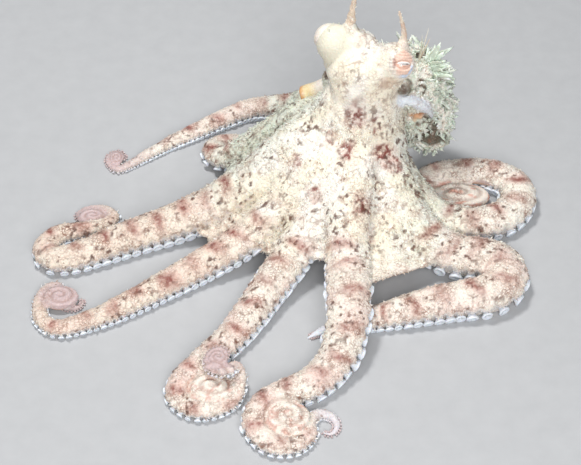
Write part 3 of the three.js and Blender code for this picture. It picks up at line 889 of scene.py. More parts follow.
def green_layers(points, places):
    """The greenish sides and back of the crown, with dark mottling."""
    back = smooth(points[:, 1] - 0.5 * (points[:, 0] - 18), 13, 36)
    flank = smooth(points[:, 0], 28, 40) * smooth(places.s, 60, 40)
    green = places.crown_share * np.maximum(0.8 * back, 0.45 * flank) * smooth(places.head, 0, 3)
    return [
        (GREEN, green * (0.8 + 0.2 * noise(points, 3, 43))),
        (OLIVE, 0.65 * green * smooth(layered(points, 2.0, 44), 0.2, 0.5)),
    ]


def bar_layers(points, places, speckle):
    """Red-brown bars across the arms, in a row down the back of each, with a flush round them."""
    warped = places.s + 2.4 * noise(points, 5, 50)
    order = np.floor(warped / BAR_SPACING)
    middle = np.abs(warped / BAR_SPACING - order - 0.5) * BAR_SPACING
    strength, sway = (hashed(np.column_stack([order, places.arm, k + 0 * order]), 9) for k in (0, 1))
    dorsal = smooth(np.abs(places.across - 0.34 * (sway - 0.5)), 0.5, 0.06) * smooth(places.high, 0.3, 0.7)
    reach = dorsal * (0.5 + 0.5 * strength) * places.on_arm
    reach *= smooth(places.s, 30, 44) * smooth(places.width, 4, 7)
    core = smooth(middle + 0.7 * layered(points, 1.5, 51), 2.3, 0.3) * reach * (0.4 + 0.6 * speckle)
    return [(FLUSH, 0.62 * smooth(middle, 4.4, 0.6) * reach), (RUST, core)]


def speck_layers(points, places):
    """Fine, broken lines like a net, and dark specks in loose rows, thickest low on the crown."""
    ridge = smooth(np.abs(noise(points, 1.7, 52)), 0.17, 0.03) * smooth(layered(points, 4, 53), -0.35, 0.35)
    specks = smooth(layered(points * (1, 1, 0.6), 1.15, 54, 2), 0.2, 0.42)
    specks *= smooth(layered(points, 5, 55), -0.35, 0.3)
    specks *= smooth(places.bulb, 1, 5) * smooth(places.head, -5, 3)
    return [
        (BROWN, (0.4 + 0.12 * places.on_arm) * ridge * smooth(places.bulb, 1, 4)),
        (UMBER, 0.92 * specks),
    ]


def blotch_layers(points, places, speckle):
    """Blotches on the crown and the face, made of specks, and loose freckles on the crown."""
    dark = painted(len(points), RUST, [(UMBER, smooth(noise(points, 1.3, 62), -0.2, 0.4))])
    layers = []
    for k, (place, radius, strong) in enumerate(BLOTCHES):
        near = np.linalg.norm((points - place) * (1, 1, 0.75), axis=1) + 1.8 * layered(points, 2.4, 60 + k)
        layers.append((FLUSH, 0.4 * strong * smooth(near, 1.3 * radius, 0.3 * radius)))
        layers.append((dark, 1.15 * strong * smooth(near, radius, 0.4 * radius) * (0.06 + 0.94 * speckle)))
    freckle = smooth(layered(points, 3.2, 70), 0.34, 0.62) * places.crown_share * smooth(places.bulb, 1, 4)
    return [*layers, (BROWN, 0.5 * freckle * speckle)]


def mantle_layers(points, places):
    """The mantle: pale green and white, with olive painted shade in the low places between its lumps."""
    # Painted shade: olive where the mantle's relief dips lowest.
    hollow = smooth(places.relief + 0.3 * noise(points, 1.4, 81), -0.04, -0.32)
    mottling = [(IVORY, smooth(layered(points, 4, 80), -0.4, 0.3)), (OLIVE, 0.95 * hollow)]
    return [(painted(len(points), GREEN, mottling), places.mantle_share)]


def head_layers(points, places):
    """The cream mound over the right eye, patches such as the tan brow, painted shade in the hollows and
    under the mantle, and the pale collar.
    """
    ragged = 0.8 * noise(points, 1.8, 90)
    layers = [(BULB_CREAM, smooth(places.bulb, 2, 0))]
    for place, radius, shade, strong in PATCHES:
        near = np.linalg.norm(points - place, axis=1) + ragged
        layers.append((shade, strong * smooth(near, radius, 0.4 * radius)))
    collar = near_any(points, along_collar(4, 18, 1.7), 1.0)
    return [*layers, (PALE_BLUE, 0.9 * collar * smooth(points[:, 1], 23, 20))]


def tip_layers(points, places):
    """Soft mauve tips and small coils; the coils of the wider arms are cream with red wrinkles, and painted
    shade lies in the grooves between the coils' turns.
    """
    layers = [(MAUVE, 0.85 * places.tip_share)]
    for name, share in (("l1", 0.5), ("l2", 0.9)):
        layers.append((PALE_BLUE, share * places.tip_share * (places.name == name)))
    for name in ("r2", "r3", "l4", "r1_end"):
        layers.append((MAUVE, 0.8 * smooth(places.coils[name], 0.7, -0.1) * smooth(places.width, 11, 7)))
    for name, stretch, red in (("l1", 1, FLUSH), ("r1", 1, FLUSH), ("l3", 0.3, COIL_RED)):
        inside = smooth(places.coils[name], 0.8, 0)
        streak = smooth(layered(points * (stretch, 1, 1), 1.5, 97), 0.0, 0.4)
        layers += [(CREAM, 0.9 * inside), (red, 0.65 * inside * streak)]
    # Painted shade: brown down in the grooves between the turns of the coils.
    return [*layers, (BROWN, 0.4 * places.groove)]


def markings(points, normals, places):
    """The colour of the skin at each point, and how strongly it is netted with fine dark lines."""
    speckle = smooth(layered(points, 1.0, 61, 2), -0.2, 0.25)
    under = smooth(normals[:, 2], 0.05, -0.35) * smooth(places.s, 16, 30) * (1 - places.mantle_share)
    under *= smooth(points[:, 2], 26, 20)
    sole = under * places.on_arm
    layers = [
        *ground_layers(points, places),
        *green_layers(points, places),
        *bar_layers(points, places, speckle),
        *speck_layers(points, places),
        *blotch_layers(points, places, speckle),
        *mantle_layers(points, places),
        *head_layers(points, places),
        *tip_layers(points, places),
        (WEB_WARM, 0.85 * under * (1 - places.on_arm)),
        (SOLE_PALE, 0.9 * sole),
    ]
    net = 1 - 0.85 * smooth(places.bulb, 2, 0) - 0.75 * places.tip_share - 0.8 * sole
    net *= (0.65 + 0.5 * layered(points, 6, 95)) * (1 - 0.45 * places.crown_share)
    return painted(len(points), CREAM, layers), np.clip(net, 0.05, 1)


# ---------------- materials
class Nodes:
    """Short ways to add nodes to a material. Each gives back the socket that the next node reads."""

    def __init__(self, material):
        material.use_nodes = True
        self.tree = material.node_tree
        self.place = self.add("TexCoord", "Object")

    def feed(self, node, inputs):
        """Sets each input of a node to a value, or links it to a socket."""
        for key, value in inputs.items():
            if isinstance(value, bpy.types.NodeSocket):
                self.tree.links.new(value, node.inputs[key])
            else:
                node.inputs[key].default_value = value

    def add(self, kind, output, inputs=None, **settings):
        made = self.tree.nodes.new("ShaderNode" + kind)
        for key, value in settings.items():
            setattr(made, key, value)
        self.feed(made, inputs or {})
        return made.outputs[output]

    def attribute(self, name, output):
        return self.add("Attribute", output, attribute_name=name)

    def noise(self, scale, detail, roughness=0.5, output="Fac"):
        inputs = {"Vector": self.place, "Scale": scale, "Detail": detail, "Roughness": roughness}
        return self.add("TexNoise", output, inputs)

    def span(self, value, low, high, to_low, to_high):
        """The value moved from one range to another, and kept inside it."""
        return self.add("MapRange", 0, {0: value, 1: low, 2: high, 3: to_low, 4: to_high})

    def combine(self, first, second, operation, kind="Math"):
        return self.add(kind, 0, {0: first, 1: second}, operation=operation)

    def blend(self, share, first, second):
        """One colour with another over it."""
        return self.add("Mix", 2, {0: share, 6: first, 7: (*second, 1)}, data_type="RGBA")

    def finish(self, inputs):
        """Sets or links inputs of the surface."""
        self.feed(self.tree.nodes["Principled BSDF"], inputs)


def skin_material(name, net_size, bump, gloss, dark=BROWN, light=0.16):
    """Skin that reads its colour and the strength of its netting from the mesh and adds the fine detail."""
    material = bpy.data.materials.new(name)
    nodes = Nodes(material)
    tint, net = nodes.attribute("tint", "Color"), nodes.attribute("net", "Fac")
    shift = nodes.combine(nodes.noise(700.0, 2.0, output="Color"), (0.0009,) * 3, "MULTIPLY", "VectorMath")
    bent = nodes.combine(nodes.place, shift, "ADD", "VectorMath")
    voronoi = {"Vector": bent, "Scale": 1000 / net_size}
    cells = nodes.add("TexVoronoi", "Distance", voronoi, feature="DISTANCE_TO_EDGE")
    grain = nodes.noise(1700.0, 3.0, 0.6)
    patchy = nodes.span(nodes.noise(330.0, 2.0), 0.38, 0.62, 0.0, 1.0)
    netted = nodes.combine(nodes.span(cells, 0.02, 0.2, 1.0, 0.0), net, "MULTIPLY")
    netted = nodes.combine(netted, patchy, "MULTIPLY")
    dotted = nodes.combine(nodes.span(grain, 0.56, 0.68, 0.0, 0.75), net, "MULTIPLY")
    darkened = nodes.blend(nodes.combine(netted, dotted, "MAXIMUM"), tint, dark)
    rise = nodes.combine(grain, cells, "ADD")
    nodes.finish({
        "Base Color": nodes.blend(nodes.span(grain, 0.46, 0.32, 0.0, light), darkened, GRAIN_WHITE),
        "Normal": nodes.add("Bump", 0, {"Height": rise, "Strength": bump, "Distance": 0.0004}),
        "Roughness": nodes.span(grain, 0.3, 0.7, gloss - 0.1, gloss + 0.15),
        "Subsurface Weight": 0.12,
        "Subsurface Radius": (1.0, 0.55, 0.35),
        "Subsurface Scale": 0.0015,
        "Specular IOR Level": 0.4,
    })
    return material


def eye_material(name):
    """A wet eye with fine red fibres over the colour that it reads from the mesh."""
    material = bpy.data.materials.new(name)
    nodes = Nodes(material)
    depth = nodes.span(nodes.noise(2600.0, 3.0), 0.3, 0.7, 0.0, 0.2)
    nodes.finish({
        "Base Color": nodes.blend(depth, nodes.attribute("tint", "Color"), LID_RED),
        "Roughness": 0.12,
        "Coat Weight": 0.6,
        "Coat Roughness": 0.04,
    })
    return material


def floor_material():
    """A pale, even, matt floor with a faint grain."""
    material = bpy.data.materials.new("floor")
    nodes = Nodes(material)
    tone = nodes.span(nodes.noise(160.0, 5.0, 0.6), 0.3, 0.7, 0.0, 1.0)
    nodes.finish({"Base Color": nodes.blend(tone, (*FLOOR_DARK, 1), FLOOR_LIGHT), "Roughness": 0.9})
    return material


def finish_piece(obj, material, slot, *nodes):
    """Gives a piece its material and its place in the frame, riding the root, and hides what it replaces. The
    slot is not used.
    """
    obj.data.materials.append(material)
    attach(obj, "root")
    if nodes:
        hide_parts(*nodes)


# ---------------- the finished skin
def chart_place(points, places):
    """A place on an unwrap of the body: a strip for each arm and one for the rest, by turn and height."""
    arm_turn = np.clip(np.arctan2(places.across, places.high) / (2 * math.pi), -0.5, 0.5)
    body_turn = np.arctan2(points[:, 1] - 22, points[:, 0] - 24) / (2 * math.pi)
    on_body = places.crown_share + places.mantle_share > 0.5
    u = np.where(on_body, len(ARM) + 0.5 + 0.9 * body_turn, places.arm + 0.5 + 0.9 * arm_turn)
    v = np.where(on_body, np.clip(points[:, 2] / 80, 0, 1), np.clip(places.share, 0, 1))
    return np.column_stack([u / (len(ARM) + 1), 0.02 + 0.96 * v])


class Skin:
    """The finished skin of the body: its mesh, and the colour, netting and map place of each point."""

    def __init__(self, obj, places):
        self.points, self.normals, self.triangles = mesh_arrays(obj)
        self.places = places
        self.colours, self.nets = markings(self.points, self.normals, places)
        self.charts = chart_place(self.points, places)
        set_attribute(obj, "tint", self.colours)
        set_attribute(obj, "net", self.nets)


# ---------------- papillae
def spikes(roots, directions, heights, radii, curls, sides, rings, flat=1.0, power=0.75, roll=0.0):
    """Bent, tapering spikes. Returns points, faces, how far up each point is and whose it is."""
    count = len(roots)
    level, steep = perpendiculars(directions)
    roll = np.broadcast_to(roll, count)[:, None]
    first = np.cos(roll) * level + np.sin(roll) * steep
    second = np.cos(roll) * steep - np.sin(roll) * level
    t = np.linspace(0, 1, rings + 1)[None, :-1, None]
    line = roots[:, None] + (directions[:, None] * t + curls[:, None] * t**2) * heights[:, None, None]
    wide = radii[:, None, None] * (1 - t) ** power
    body = line[:, :, None] + wide[..., None] * hoops(first, flat * second, sides)[:, None]
    tips = roots + (directions + curls) * heights[:, None]
    per = rings * sides + 1
    points = np.concatenate([body.reshape(count, -1, 3), tips[:, None]], axis=1).reshape(-1, 3)
    one = np.vstack([ring_quads(rings, sides), fan((rings - 1) * sides, sides, per - 1)])
    faces = (one[None] + per * np.arange(count)[:, None, None]).reshape(-1, 4)
    up = np.tile(np.append(np.repeat(t.ravel(), sides), 1.0), count)
    return points, faces, up, np.repeat(np.arange(count), per)


class Roots:
    """Places scattered about evenly over the skin, more of them where density is higher."""

    def __init__(self, skin, density, spacing):
        corners = skin.points[skin.triangles]
        a, b, c = corners.transpose(1, 0, 2)
        area = 0.5 * np.linalg.norm(np.cross(b - a, c - a), axis=1)
        weight = area * density[skin.triangles].mean(1)
        tries = int(3 * weight.sum() / spacing**2)
        pick = np.searchsorted(np.cumsum(weight), RNG.random(tries) * weight.sum()).clip(0, len(weight) - 1)
        inward, along = np.sqrt(RNG.random(tries)), RNG.random(tries)
        shares = np.column_stack([1 - inward, inward * (1 - along), inward * along])
        at = np.einsum("ij,ijk->ik", shares, corners[pick])
        # One place is kept in each cell of a grid, which spreads them out.
        key = np.bitwise_xor.reduce(np.floor(at / spacing).astype(np.int64) * CELL_MIXERS, axis=1)
        keep = np.unique(key, return_index=True)[1]
        self.count = len(keep)
        self.at = at[keep]
        self.shares = shares[keep]
        self.corners = skin.triangles[pick[keep]]
        self.outward = unit(self.of(skin.normals))

    def of(self, values):
        """What the skin's values are at the roots."""
        return np.einsum("ij,ij...->i...", self.shares, values[self.corners])


def coat_piece(name, parts, material):
    """One joined mesh of spikes, with the tint, the netting and a small patch of the map for each."""
    starts = np.cumsum([0] + [len(part["points"]) for part in parts])
    faces = np.vstack([part["faces"] + start for part, start in zip(parts, starts)])
    points, tint, net, chart = (
        np.concatenate([part[key] for part in parts]) for key in ("points", "tint", "net", "chart")
    )
    obj = painted_mesh(name, points, faces, tint, net)
    uv = obj.data.uv_layers.new(name="OFBake")
    corner = np.empty(len(obj.data.loops), np.int32)
    obj.data.loops.foreach_get("vertex_index", corner)
    uv.data.foreach_set("uv", chart[corner].astype(np.float32).ravel())
    finish_piece(obj, material, "papilla")


def dress(points, faces, up, owner, colours, nets, charts, jitter=0.07, base=0.84, tip=1.12):
    """Colour, netting and map place of every point of some spikes, from those of their roots, with painted
    shade at each spike's foot and painted light towards its tip.
    """
    # Painted shade and light: darker at the foot by base, lighter towards the tip by tip, with a random tone
    # for each spike.
    shade = (base + (tip - base) * up) * (1 + jitter * RNG.standard_normal(owner.max() + 1))[owner]
    around = 2 * math.pi * RNG.random(len(up))
    patch = 0.0015 * np.column_stack([np.cos(around), np.sin(around)])
    return {
        "points": points,
        "faces": faces,
        "tint": np.clip(colours[owner] * shade[:, None], 0, 0.95),
        "net": nets[owner] * 0.6 * (1 - 0.5 * up),
        "chart": charts[owner] + patch,
    }


def bareness(skin):
    """How free of papillae each point is: most on the bulb, soles, tips, coils, lids and mantle edge."""
    points, places = skin.points, skin.places
    coil = np.min(list(places.coils.values()), axis=0)
    return np.maximum.reduce([
        smooth(places.bulb, 2.6, 0.6),
        smooth(skin.normals[:, 2], 0.1, -0.2) * smooth(places.s, 16, 30) * smooth(points[:, 2], 32, 24),
        smooth(places.width, 4.4, 3.0) * (1 - places.crown_share),
        smooth(points[:, 2], 1.4, 0.7),
        0.75 * smooth(coil, 0.8, 0),
        near_any(points, MANTLE_BARE, 1.0),
        near_any(points, [(centre, 5.3) for centre in EYE_PLACES.values()], 0.9),
    ])


def papilla_leans(places, roots):
    """Directions along the skin, out along the arms and down the crown, loosely together."""
    leans = np.zeros((roots.count, 3))
    for k, arm in enumerate(ARM.values()):
        corner = roots.corners[:, 0]
        here = places.arm[corner] == k
        leans[here] = arm.along[arm.index(places.s[corner[here]])]
    leans += 0.5 * RNG.standard_normal((roots.count, 3))
    leans -= dot(leans, roots.outward)[:, None] * roots.outward
    return unit(leans)


def papilla_coat(skin, material):
    """Short, close papillae over the whole body, longer on the crown."""
    places = skin.places
    density = (1 - bareness(skin)) * (0.62 + 0.35 * places.crown_share) * (1 - 0.75 * places.mantle_share)
    density *= 0.4 + 0.6 * smooth(places.head, 0, 5)
    density *= 0.65 + 0.5 * layered(skin.points, 5, 130)
    roots = Roots(skin, np.clip(density, 0, 1.2), COAT_SPACING)
    count = roots.count
    crown, head, width = (roots.of(values) for values in (places.crown_share, places.head, places.width))
    size = np.exp(0.35 * RNG.standard_normal(count)) * (0.75 + 0.35 * noise(roots.at, 4, 131))
    heights = size * (0.3 + 0.14 * crown + 0.008 * width) * (0.55 + 0.45 * smooth(head, 0, 5))
    heights = np.clip(heights, 0.15, 1.2)
    radii = np.clip(0.5 * heights + 0.12, 0.16, 0.42) * (0.9 + 0.2 * RNG.random(count))
    leans = papilla_leans(places, roots)
    directions = unit(roots.outward + 0.45 * leans)
    curls = 0.35 * leans + 0.15 * RNG.standard_normal((count, 3))
    tints, net, charts = (roots.of(values) for values in (skin.colours, skin.nets, skin.charts))
    # Some are dark or chalk white, which makes the fine speckle.
    dark = (RNG.random(count) < 0.02 + 0.08 * net + 0.04 * crown) & (head > 1)
    tints[dark] = mix(tints[dark], BROWN, 0.6)
    white = ~dark & (RNG.random(count) < 0.3) & (tints.mean(1) > 0.6)
    tints[white] = mix(tints[white], IVORY, 0.6)
    order = np.argsort(places.arm[roots.corners[:, 0]] + 0.001 * RNG.random(count))
    pieces = math.ceil(count * PAPILLA_TRIANGLES / COAT_PIECE_TRIANGLES)
    for k, batch in enumerate(np.array_split(order, pieces)):
        sunk = roots.at[batch] - 0.12 * roots.outward[batch]
        spike = spikes(sunk, directions[batch], heights[batch], radii[batch], curls[batch], sides=4, rings=2)
        part = dress(*spike, tints[batch], net[batch], charts[batch])
        coat_piece(f"papillae_{k + 1}", [part], material)


def tall_tuft(place, away, length, spread, number, shade):
    """A flap of long, flat papillae that fan out from one root, or a thin twig of a few."""
    place, away = np.array(place), unit(np.array(away))
    first, second = perpendiculars(away[None])
    lean = spread * RNG.uniform(-1, 1, (number, 1)) * first
    lean = lean + 0.45 * spread * RNG.uniform(-1, 1, (number, 1)) * second
    long = length * (0.35 + 0.65 * RNG.random(number)) * (1 - 0.4 * np.linalg.norm(lean, axis=1))
    roots = place + 0.2 * length * lean - 0.5 * away
    wide = 0.34 * long**0.6 + 0.25 if number > TWIG_BLADES else np.full(number, 0.3)
    curls = 0.25 * RNG.standard_normal((number, 3))
    roll = 0.96 + 0.5 * RNG.standard_normal(number)
    shape = {"sides": 6, "rings": 6, "flat": 0.4, "power": 0.45}
    blades = spikes(roots, unit(away + lean), long, wide, curls, roll=roll, **shape)
    tints = painted(number, shade, [(TUFT_PALE, 0.8 * RNG.random(number))])
    charts = (0.985, 0.5) + 0.004 * RNG.random((number, 2))
    return dress(*blades, tints, np.full(number, 0.5), charts, base=0.75, tip=1.1)


def mantle_shag(skin, material):
    """The branching tufts and flaps of the mantle, with a few on the crown's back and over the eyes."""
    points, places = skin.points, skin.places
    density = places.mantle_share * smooth(places.relief, -0.4, 0.05)
    density *= 1 - near_any(points, MANTLE_BARE, 0.8)
    back = places.crown_share * smooth(points[:, 1], 22, 34) * smooth(points[:, 2], 6, 14)
    roots = Roots(skin, np.clip(density + 0.16 * back, 0, 1), TUFT_SPACING)
    count = roots.count
    on_mantle, tints, net, charts = (
        roots.of(values) for values in (places.mantle_share, skin.colours, skin.nets, skin.charts)
    )
    tints = mix(tints, TUFT_PALE, (0.2 + 0.8 * RNG.random(count)) * (0.3 + 0.7 * on_mantle))
    lengths = (0.8 + 1.0 * on_mantle) * np.exp(0.32 * RNG.standard_normal(count))
    lengths = np.clip(lengths * (1 - 0.45 * smooth(roots.at[:, 2], 45, 50)), 0.6, 3.2)
    hang = TUFT_HANG + 0.75 * RNG.standard_normal((count, 3))
    directions = unit(roots.outward + 0.6 * hang)
    curls = 0.4 * RNG.standard_normal((count, 3))
    roll = 2 * math.pi * RNG.random(count)
    sunk = roots.at - 0.3 * roots.outward
    leaf = {"flat": 0.4, "power": 0.4, "roll": roll}
    trunk = spikes(sunk, directions, lengths, 0.42 * lengths**0.7 + 0.16, curls, sides=6, rings=4, **leaf)
    # The trunks carry the strongest painted shade at their feet, and painted light at their tips.
    parts = [dress(*trunk, tints, 0.5 * net, charts, base=0.62, tip=1.2)]
    first, second = perpendiculars(directions)
    for k in range(BRANCHES):
        t = 0.25 + 0.6 * (k + RNG.random(count)) / BRANCHES
        start = roots.at + (directions * t[:, None] + curls * (t**2)[:, None]) * lengths[:, None]
        turn = roll + math.pi * (k % 2) + 0.9 * RNG.standard_normal(count)
        aside = first * np.cos(turn)[:, None] + second * np.sin(turn)[:, None]
        long = 0.62 * lengths * (1.1 - t)
        away = unit(0.45 * directions + aside)
        leaf = {"flat": 0.45, "power": 0.4, "roll": roll}
        branch = spikes(start, away, long, 0.36 * long + 0.12, 0.35 * directions, sides=4, rings=3, **leaf)
        parts.append(dress(*branch, tints, net, charts, base=0.85, tip=1.18))
    parts += [tall_tuft(*tuft) for tuft in TALL_TUFTS]
    for k, group in enumerate(np.array_split(np.arange(len(parts)), 2)):
        coat_piece(f"mantle_tufts_{k + 1}", [parts[i] for i in group], material)


def fringe_lines():
    """Places and directions along the free edges of the webs and the margins of the arms."""
    lines = [web_sheet(*web)[2:] for web in WEBS]
    for arm in ARM.values():
        i = arm.index(np.arange(40, 0.9 * arm.length, 0.8))
        high = arm.up[i] * (0.34 * ARM_FLATNESS * arm.width[i])[:, None]
        for sign in (-1, 1):
            place = arm.at[i] + sign * arm.side[i] * (0.47 * arm.width[i])[:, None] + high
            lines.append((place, unit(sign * arm.side[i] + 0.25 * arm.up[i] + 0.4 * arm.along[i])))
    return (np.vstack(column) for column in zip(*lines))


def web_fringe(skin, material):
    """Fine teeth along the free edges of the webs and the margins of the arms."""
    places, directions = fringe_lines()
    index, gap = nearest(skin.points, places)
    close = (gap < 1.6) & (skin.places.width[index] > 3.4)
    index, directions = index[close], directions[close]
    count = len(index)
    heights = 0.75 * np.exp(0.3 * RNG.standard_normal(count))
    directions = unit(directions + 0.3 * RNG.standard_normal((count, 3)))
    curls = 0.25 * RNG.standard_normal((count, 3))
    sunk = skin.points[index] - 0.15 * directions
    spike = spikes(sunk, directions, heights, 0.2 + 0.16 * heights, curls, sides=4, rings=2)
    tints = mix(skin.colours[index], IVORY, 0.35)
    dark = RNG.random(count) < 0.2
    tints[dark] = mix(tints[dark], BROWN, 0.6)
    coat_piece("web_fringe", [dress(*spike, tints, skin.nets[index], skin.charts[index])], material)


# ---------------- suckers
def sucker_place(arm, s, sign, odd):
    """Where a sucker sits at s along an arm, on the side of the sign: its middle, its axis and its radius."""
    i = arm.index(s)
    width, bend = arm.width[i], arm.bend[i]
    free = smooth(s, SUCKER_HIDE - SUCKER_OUT, SUCKER_HIDE)
    radius = (0.48 + 0.05 * odd) * sucker_spacing(width)
    out = sign * (0.24 + (0.16 + 0.015 * odd) * free) * width
    if out * bend > SUCKER_BEND_ROOM:
        out = SUCKER_BEND_ROOM / bend
    tilt = SUCKER_TILT + 0.22 * odd + 3 * (1 - free)
    axis = unit(sign * arm.side[i] - tilt * arm.up[i])
    high = (0.3 + 0.67 * free) * radius
    return arm.at[i] + arm.side[i] * out + arm.up[i] * high + axis * 0.3 * radius, axis, radius


def sucker(arm, s, sign, odd):
    """One cup with a lightly frilled rim, which doesn't reach through the floor."""
    centre, axis, radius = sucker_place(arm, s, sign, odd)
    along = arm.along[arm.index(s)]
    circle = hoops(along[None], np.cross(axis, along)[None], SUCKER_AROUND)[0]
    frill = 1 + 0.05 * np.cos(7 * turns(SUCKER_AROUND) + s)[:, None]
    rings = [
        centre + radius * (h * axis + r * (frill if k in SUCKER_FRILLED else 1) * circle)
        for k, (r, h, shade) in enumerate(SUCKER_PROFILE)
    ]
    rings = np.array(rings)
    rings[..., 2] = np.maximum(rings[..., 2], 0.03)
    return loft(rings)


def suckers(material):
    """Two rows of cup suckers under every arm, tilted out so that their rims show at the arms' edges, with
    painted shade down in each cup.
    """
    cups, colours = Solid(), []
    # Each ring of a cup is scaled by its painted shade, darkest deep in the cup.
    painted_cup_shades = np.append(np.repeat([shade for r, h, shade in SUCKER_PROFILE], SUCKER_AROUND), SUCKER_HUB_PAINTED_SHADES)
    for arm in ARM.values():
        for row, sign in enumerate((-1, 1)):
            for beat in np.arange(0, math.floor(arm.beat[-1]) - 0.5) + 0.5 * row:
                s = np.interp(beat, arm.beat, arm.s)
                if s > arm.length - 1.5:
                    break
                odd = 2 * hashed(np.array([[row, int(beat), len(cups.points)]]), 5)[0] - 1
                cups.add(*sucker(arm, s, sign, odd))
                base = mix(PALE_BLUE, MAUVE, smooth(arm.width[arm.index(s)], 4.5, 2.5))
                colours.append(painted_cup_shades[:, None] * base)
    obj = painted_mesh("suckers", *cups.arrays(), np.vstack(colours), 0.06)
    finish_piece(obj, material, "sucker")


# ---------------- eyes and lids
def eye_rays(name, tilt, turn):
    """Directions from an eye's middle, at angles from its line of sight and turns about it, with x and y."""
    look = unit(np.array(EYE_LOOKS[name]))
    across = unit(np.cross(look, EYE_TOPS[name]))
    up = np.cross(across, look)
    x, y, z = np.sin(tilt) * np.cos(turn), np.sin(tilt) * np.sin(turn), np.cos(tilt) + 0 * turn
    return x[..., None] * across + y[..., None] * up + z[..., None] * look, x, y


def flat_noise(x, y, seed):
    return noise(np.stack([x, y, 0 * x], -1), 1, seed)


def eyeball(name):
    """An eye with a striped, pink-orange iris, a level slit of a pupil and a painted white highlight across
    it.
    """
    tilt = np.linspace(0.001, math.pi, EYE_AROUND)[:, None]
    rays, x, y = eye_rays(name, tilt, turns(EYE_AROUND)[None])
    bulge = 1 + 0.035 * smooth(tilt, 0.7, 0.2)
    points, faces = loft(EYE_PLACES[name] + EYE_RADIUS * bulge[..., None] * rays)
    x, y = (np.append(values.ravel(), [0, 0]) for values in (x, y))
    slit = smooth(np.hypot(x / 0.36, (y + 0.01) / 0.05), 1.1, 0.85)
    colours = painted(len(points), IRIS_PINK, [
        (IRIS_PALE, smooth(flat_noise(6 * x, 22 * y, 3), 0, 0.7)),
        (LID_RED, 0.3 * smooth(flat_noise(3.6 * x, 28.6 * y, 4), 0.3, 0.8)),
        (EYE_BLUE, smooth(np.hypot(x / 0.62, y / 0.56), 0.95, 1.15)),
        # Painted highlight: a bright band round the slit, under the dark pupil.
        (EYE_GLINT, smooth(np.hypot(x / 0.42, (y - 0.03) / 0.11), 1.2, 0.95)),
        (PUPIL_DARK, slit * (0.55 + 0.45 * smooth(np.abs(x), 0.1, 0.2))),
    ])
    eye = painted_mesh(name, points, faces, colours, 0.0)
    finish_piece(eye, eye_material(f"{name}_surface"), "eye", name)


def eyelid(name, material, inner, narrow, folded):
    """A ring of lid skin over the eye, with folds above and below the opening, as deep as folded says, and
    red-brown painted shade in the creases of the folds above.
    """
    centre = np.array(EYE_PLACES[name])
    turn = turns(LID_AROUND)[None]
    share = np.linspace(0, 1, LID_RINGS)[:, None]
    tall = np.where(np.sin(turn) > 0, LID_TOP, LID_BOTTOM) * narrow
    opening = 1 / np.sqrt((np.cos(turn) / LID_ACROSS) ** 2 + (np.sin(turn) / tall) ** 2)
    rays, x, y = eye_rays(name, opening + (LID_REACH - opening) * share**1.1, turn)
    fold = 2 * math.pi * (y * EYE_RADIUS / LID_FOLD - 0.35 * np.cos(turn) ** 2)
    folds = np.cos(fold + 1.2 * flat_noise(3 * x, 3 * y, 5))
    shut = smooth(share, 0.04, 0.2) * smooth(share, 1.0, 0.6)
    radius = EYE_RADIUS + 0.1 + 0.42 * smooth(share, 0, 0.12) - 0.45 * smooth(share, 0.5, 1.0)
    grid = centre + (radius + 0.1 * folded * folds * shut)[..., None] * rays
    # The inner edge turns in against the eye, as one more ring.
    lip = centre + (EYE_RADIUS - 0.15) * unit(grid[0] - centre)
    points = np.concatenate([lip[None], grid]).reshape(-1, 3)
    folds, shut, x, y = (
        np.vstack([values[:1], values]).ravel() for values in (folds, shut + 0 * turn, x, y)
    )
    oval = np.hypot(x / 0.54, (y - 0.06) / 0.84) + 0.12 * flat_noise(4 * x, 4 * y, 8)
    # Painted shade: red-brown lines down in the creases of the folds above the opening.
    lines = smooth(-folds, 0.5, 1.0) * shut * smooth(y, 0.05, 0.3) * smooth(oval, 1.25, 0.8)
    corner = np.hypot((x - 0.58) / 0.11, (y - 0.08) / 0.5)
    rim = smooth(np.abs(oval - 1), 0.2, 0.08) * smooth(y, 0.1, -0.15) * smooth(x, 0.3, -0.1)
    colours = painted(len(points), inner, [
        (CREAM, smooth(oval, 0.8, 1.15)),
        (LID_RED, 0.3 * folded * lines),
        (LID_RED, 0.7 * folded * smooth(corner, 1.3, 0.2)),
        (LID_BLUE, 0.95 * folded * rim),
    ])
    faces = ring_quads(LID_RINGS + 1, LID_AROUND)
    obj = painted_mesh(name.replace("eye", "eyelid"), points, faces, colours, 0.3)
    finish_piece(obj, material, "head_skin")


def horn_knobs(name, material, spine, along, first, second, share, radius):
    """Small knobs on a horn's side, from the horn's middle line, its directions, shares and radii."""
    i = RNG.integers(KNOB_MARGIN, len(spine) - KNOB_MARGIN, HORN_KNOBS)
    spin = 2 * math.pi * RNG.random(HORN_KNOBS)
    aside = first[i] * np.cos(spin)[:, None] + second[i] * np.sin(spin)[:, None]
    heights = (0.45 + 0.5 * RNG.random(HORN_KNOBS)) * (0.5 + 0.4 * radius[i])
    starts = spine[i] + aside * (0.75 * radius[i])[:, None]
    away = unit(aside + 0.8 * along[i])
    spike = spikes(starts, away, heights, 0.14 + 0.12 * heights, 0.3 * along[i], sides=5, rings=3)
    tints = painted(HORN_KNOBS, TAN, [(IVORY, RNG.random(HORN_KNOBS))])
    charts = np.column_stack([0.96 + 0.03 * RNG.random(HORN_KNOBS), share[i]])
    coat_piece(f"{name}_knobs", [dress(*spike, tints, np.full(HORN_KNOBS, 0.2), charts)], material)


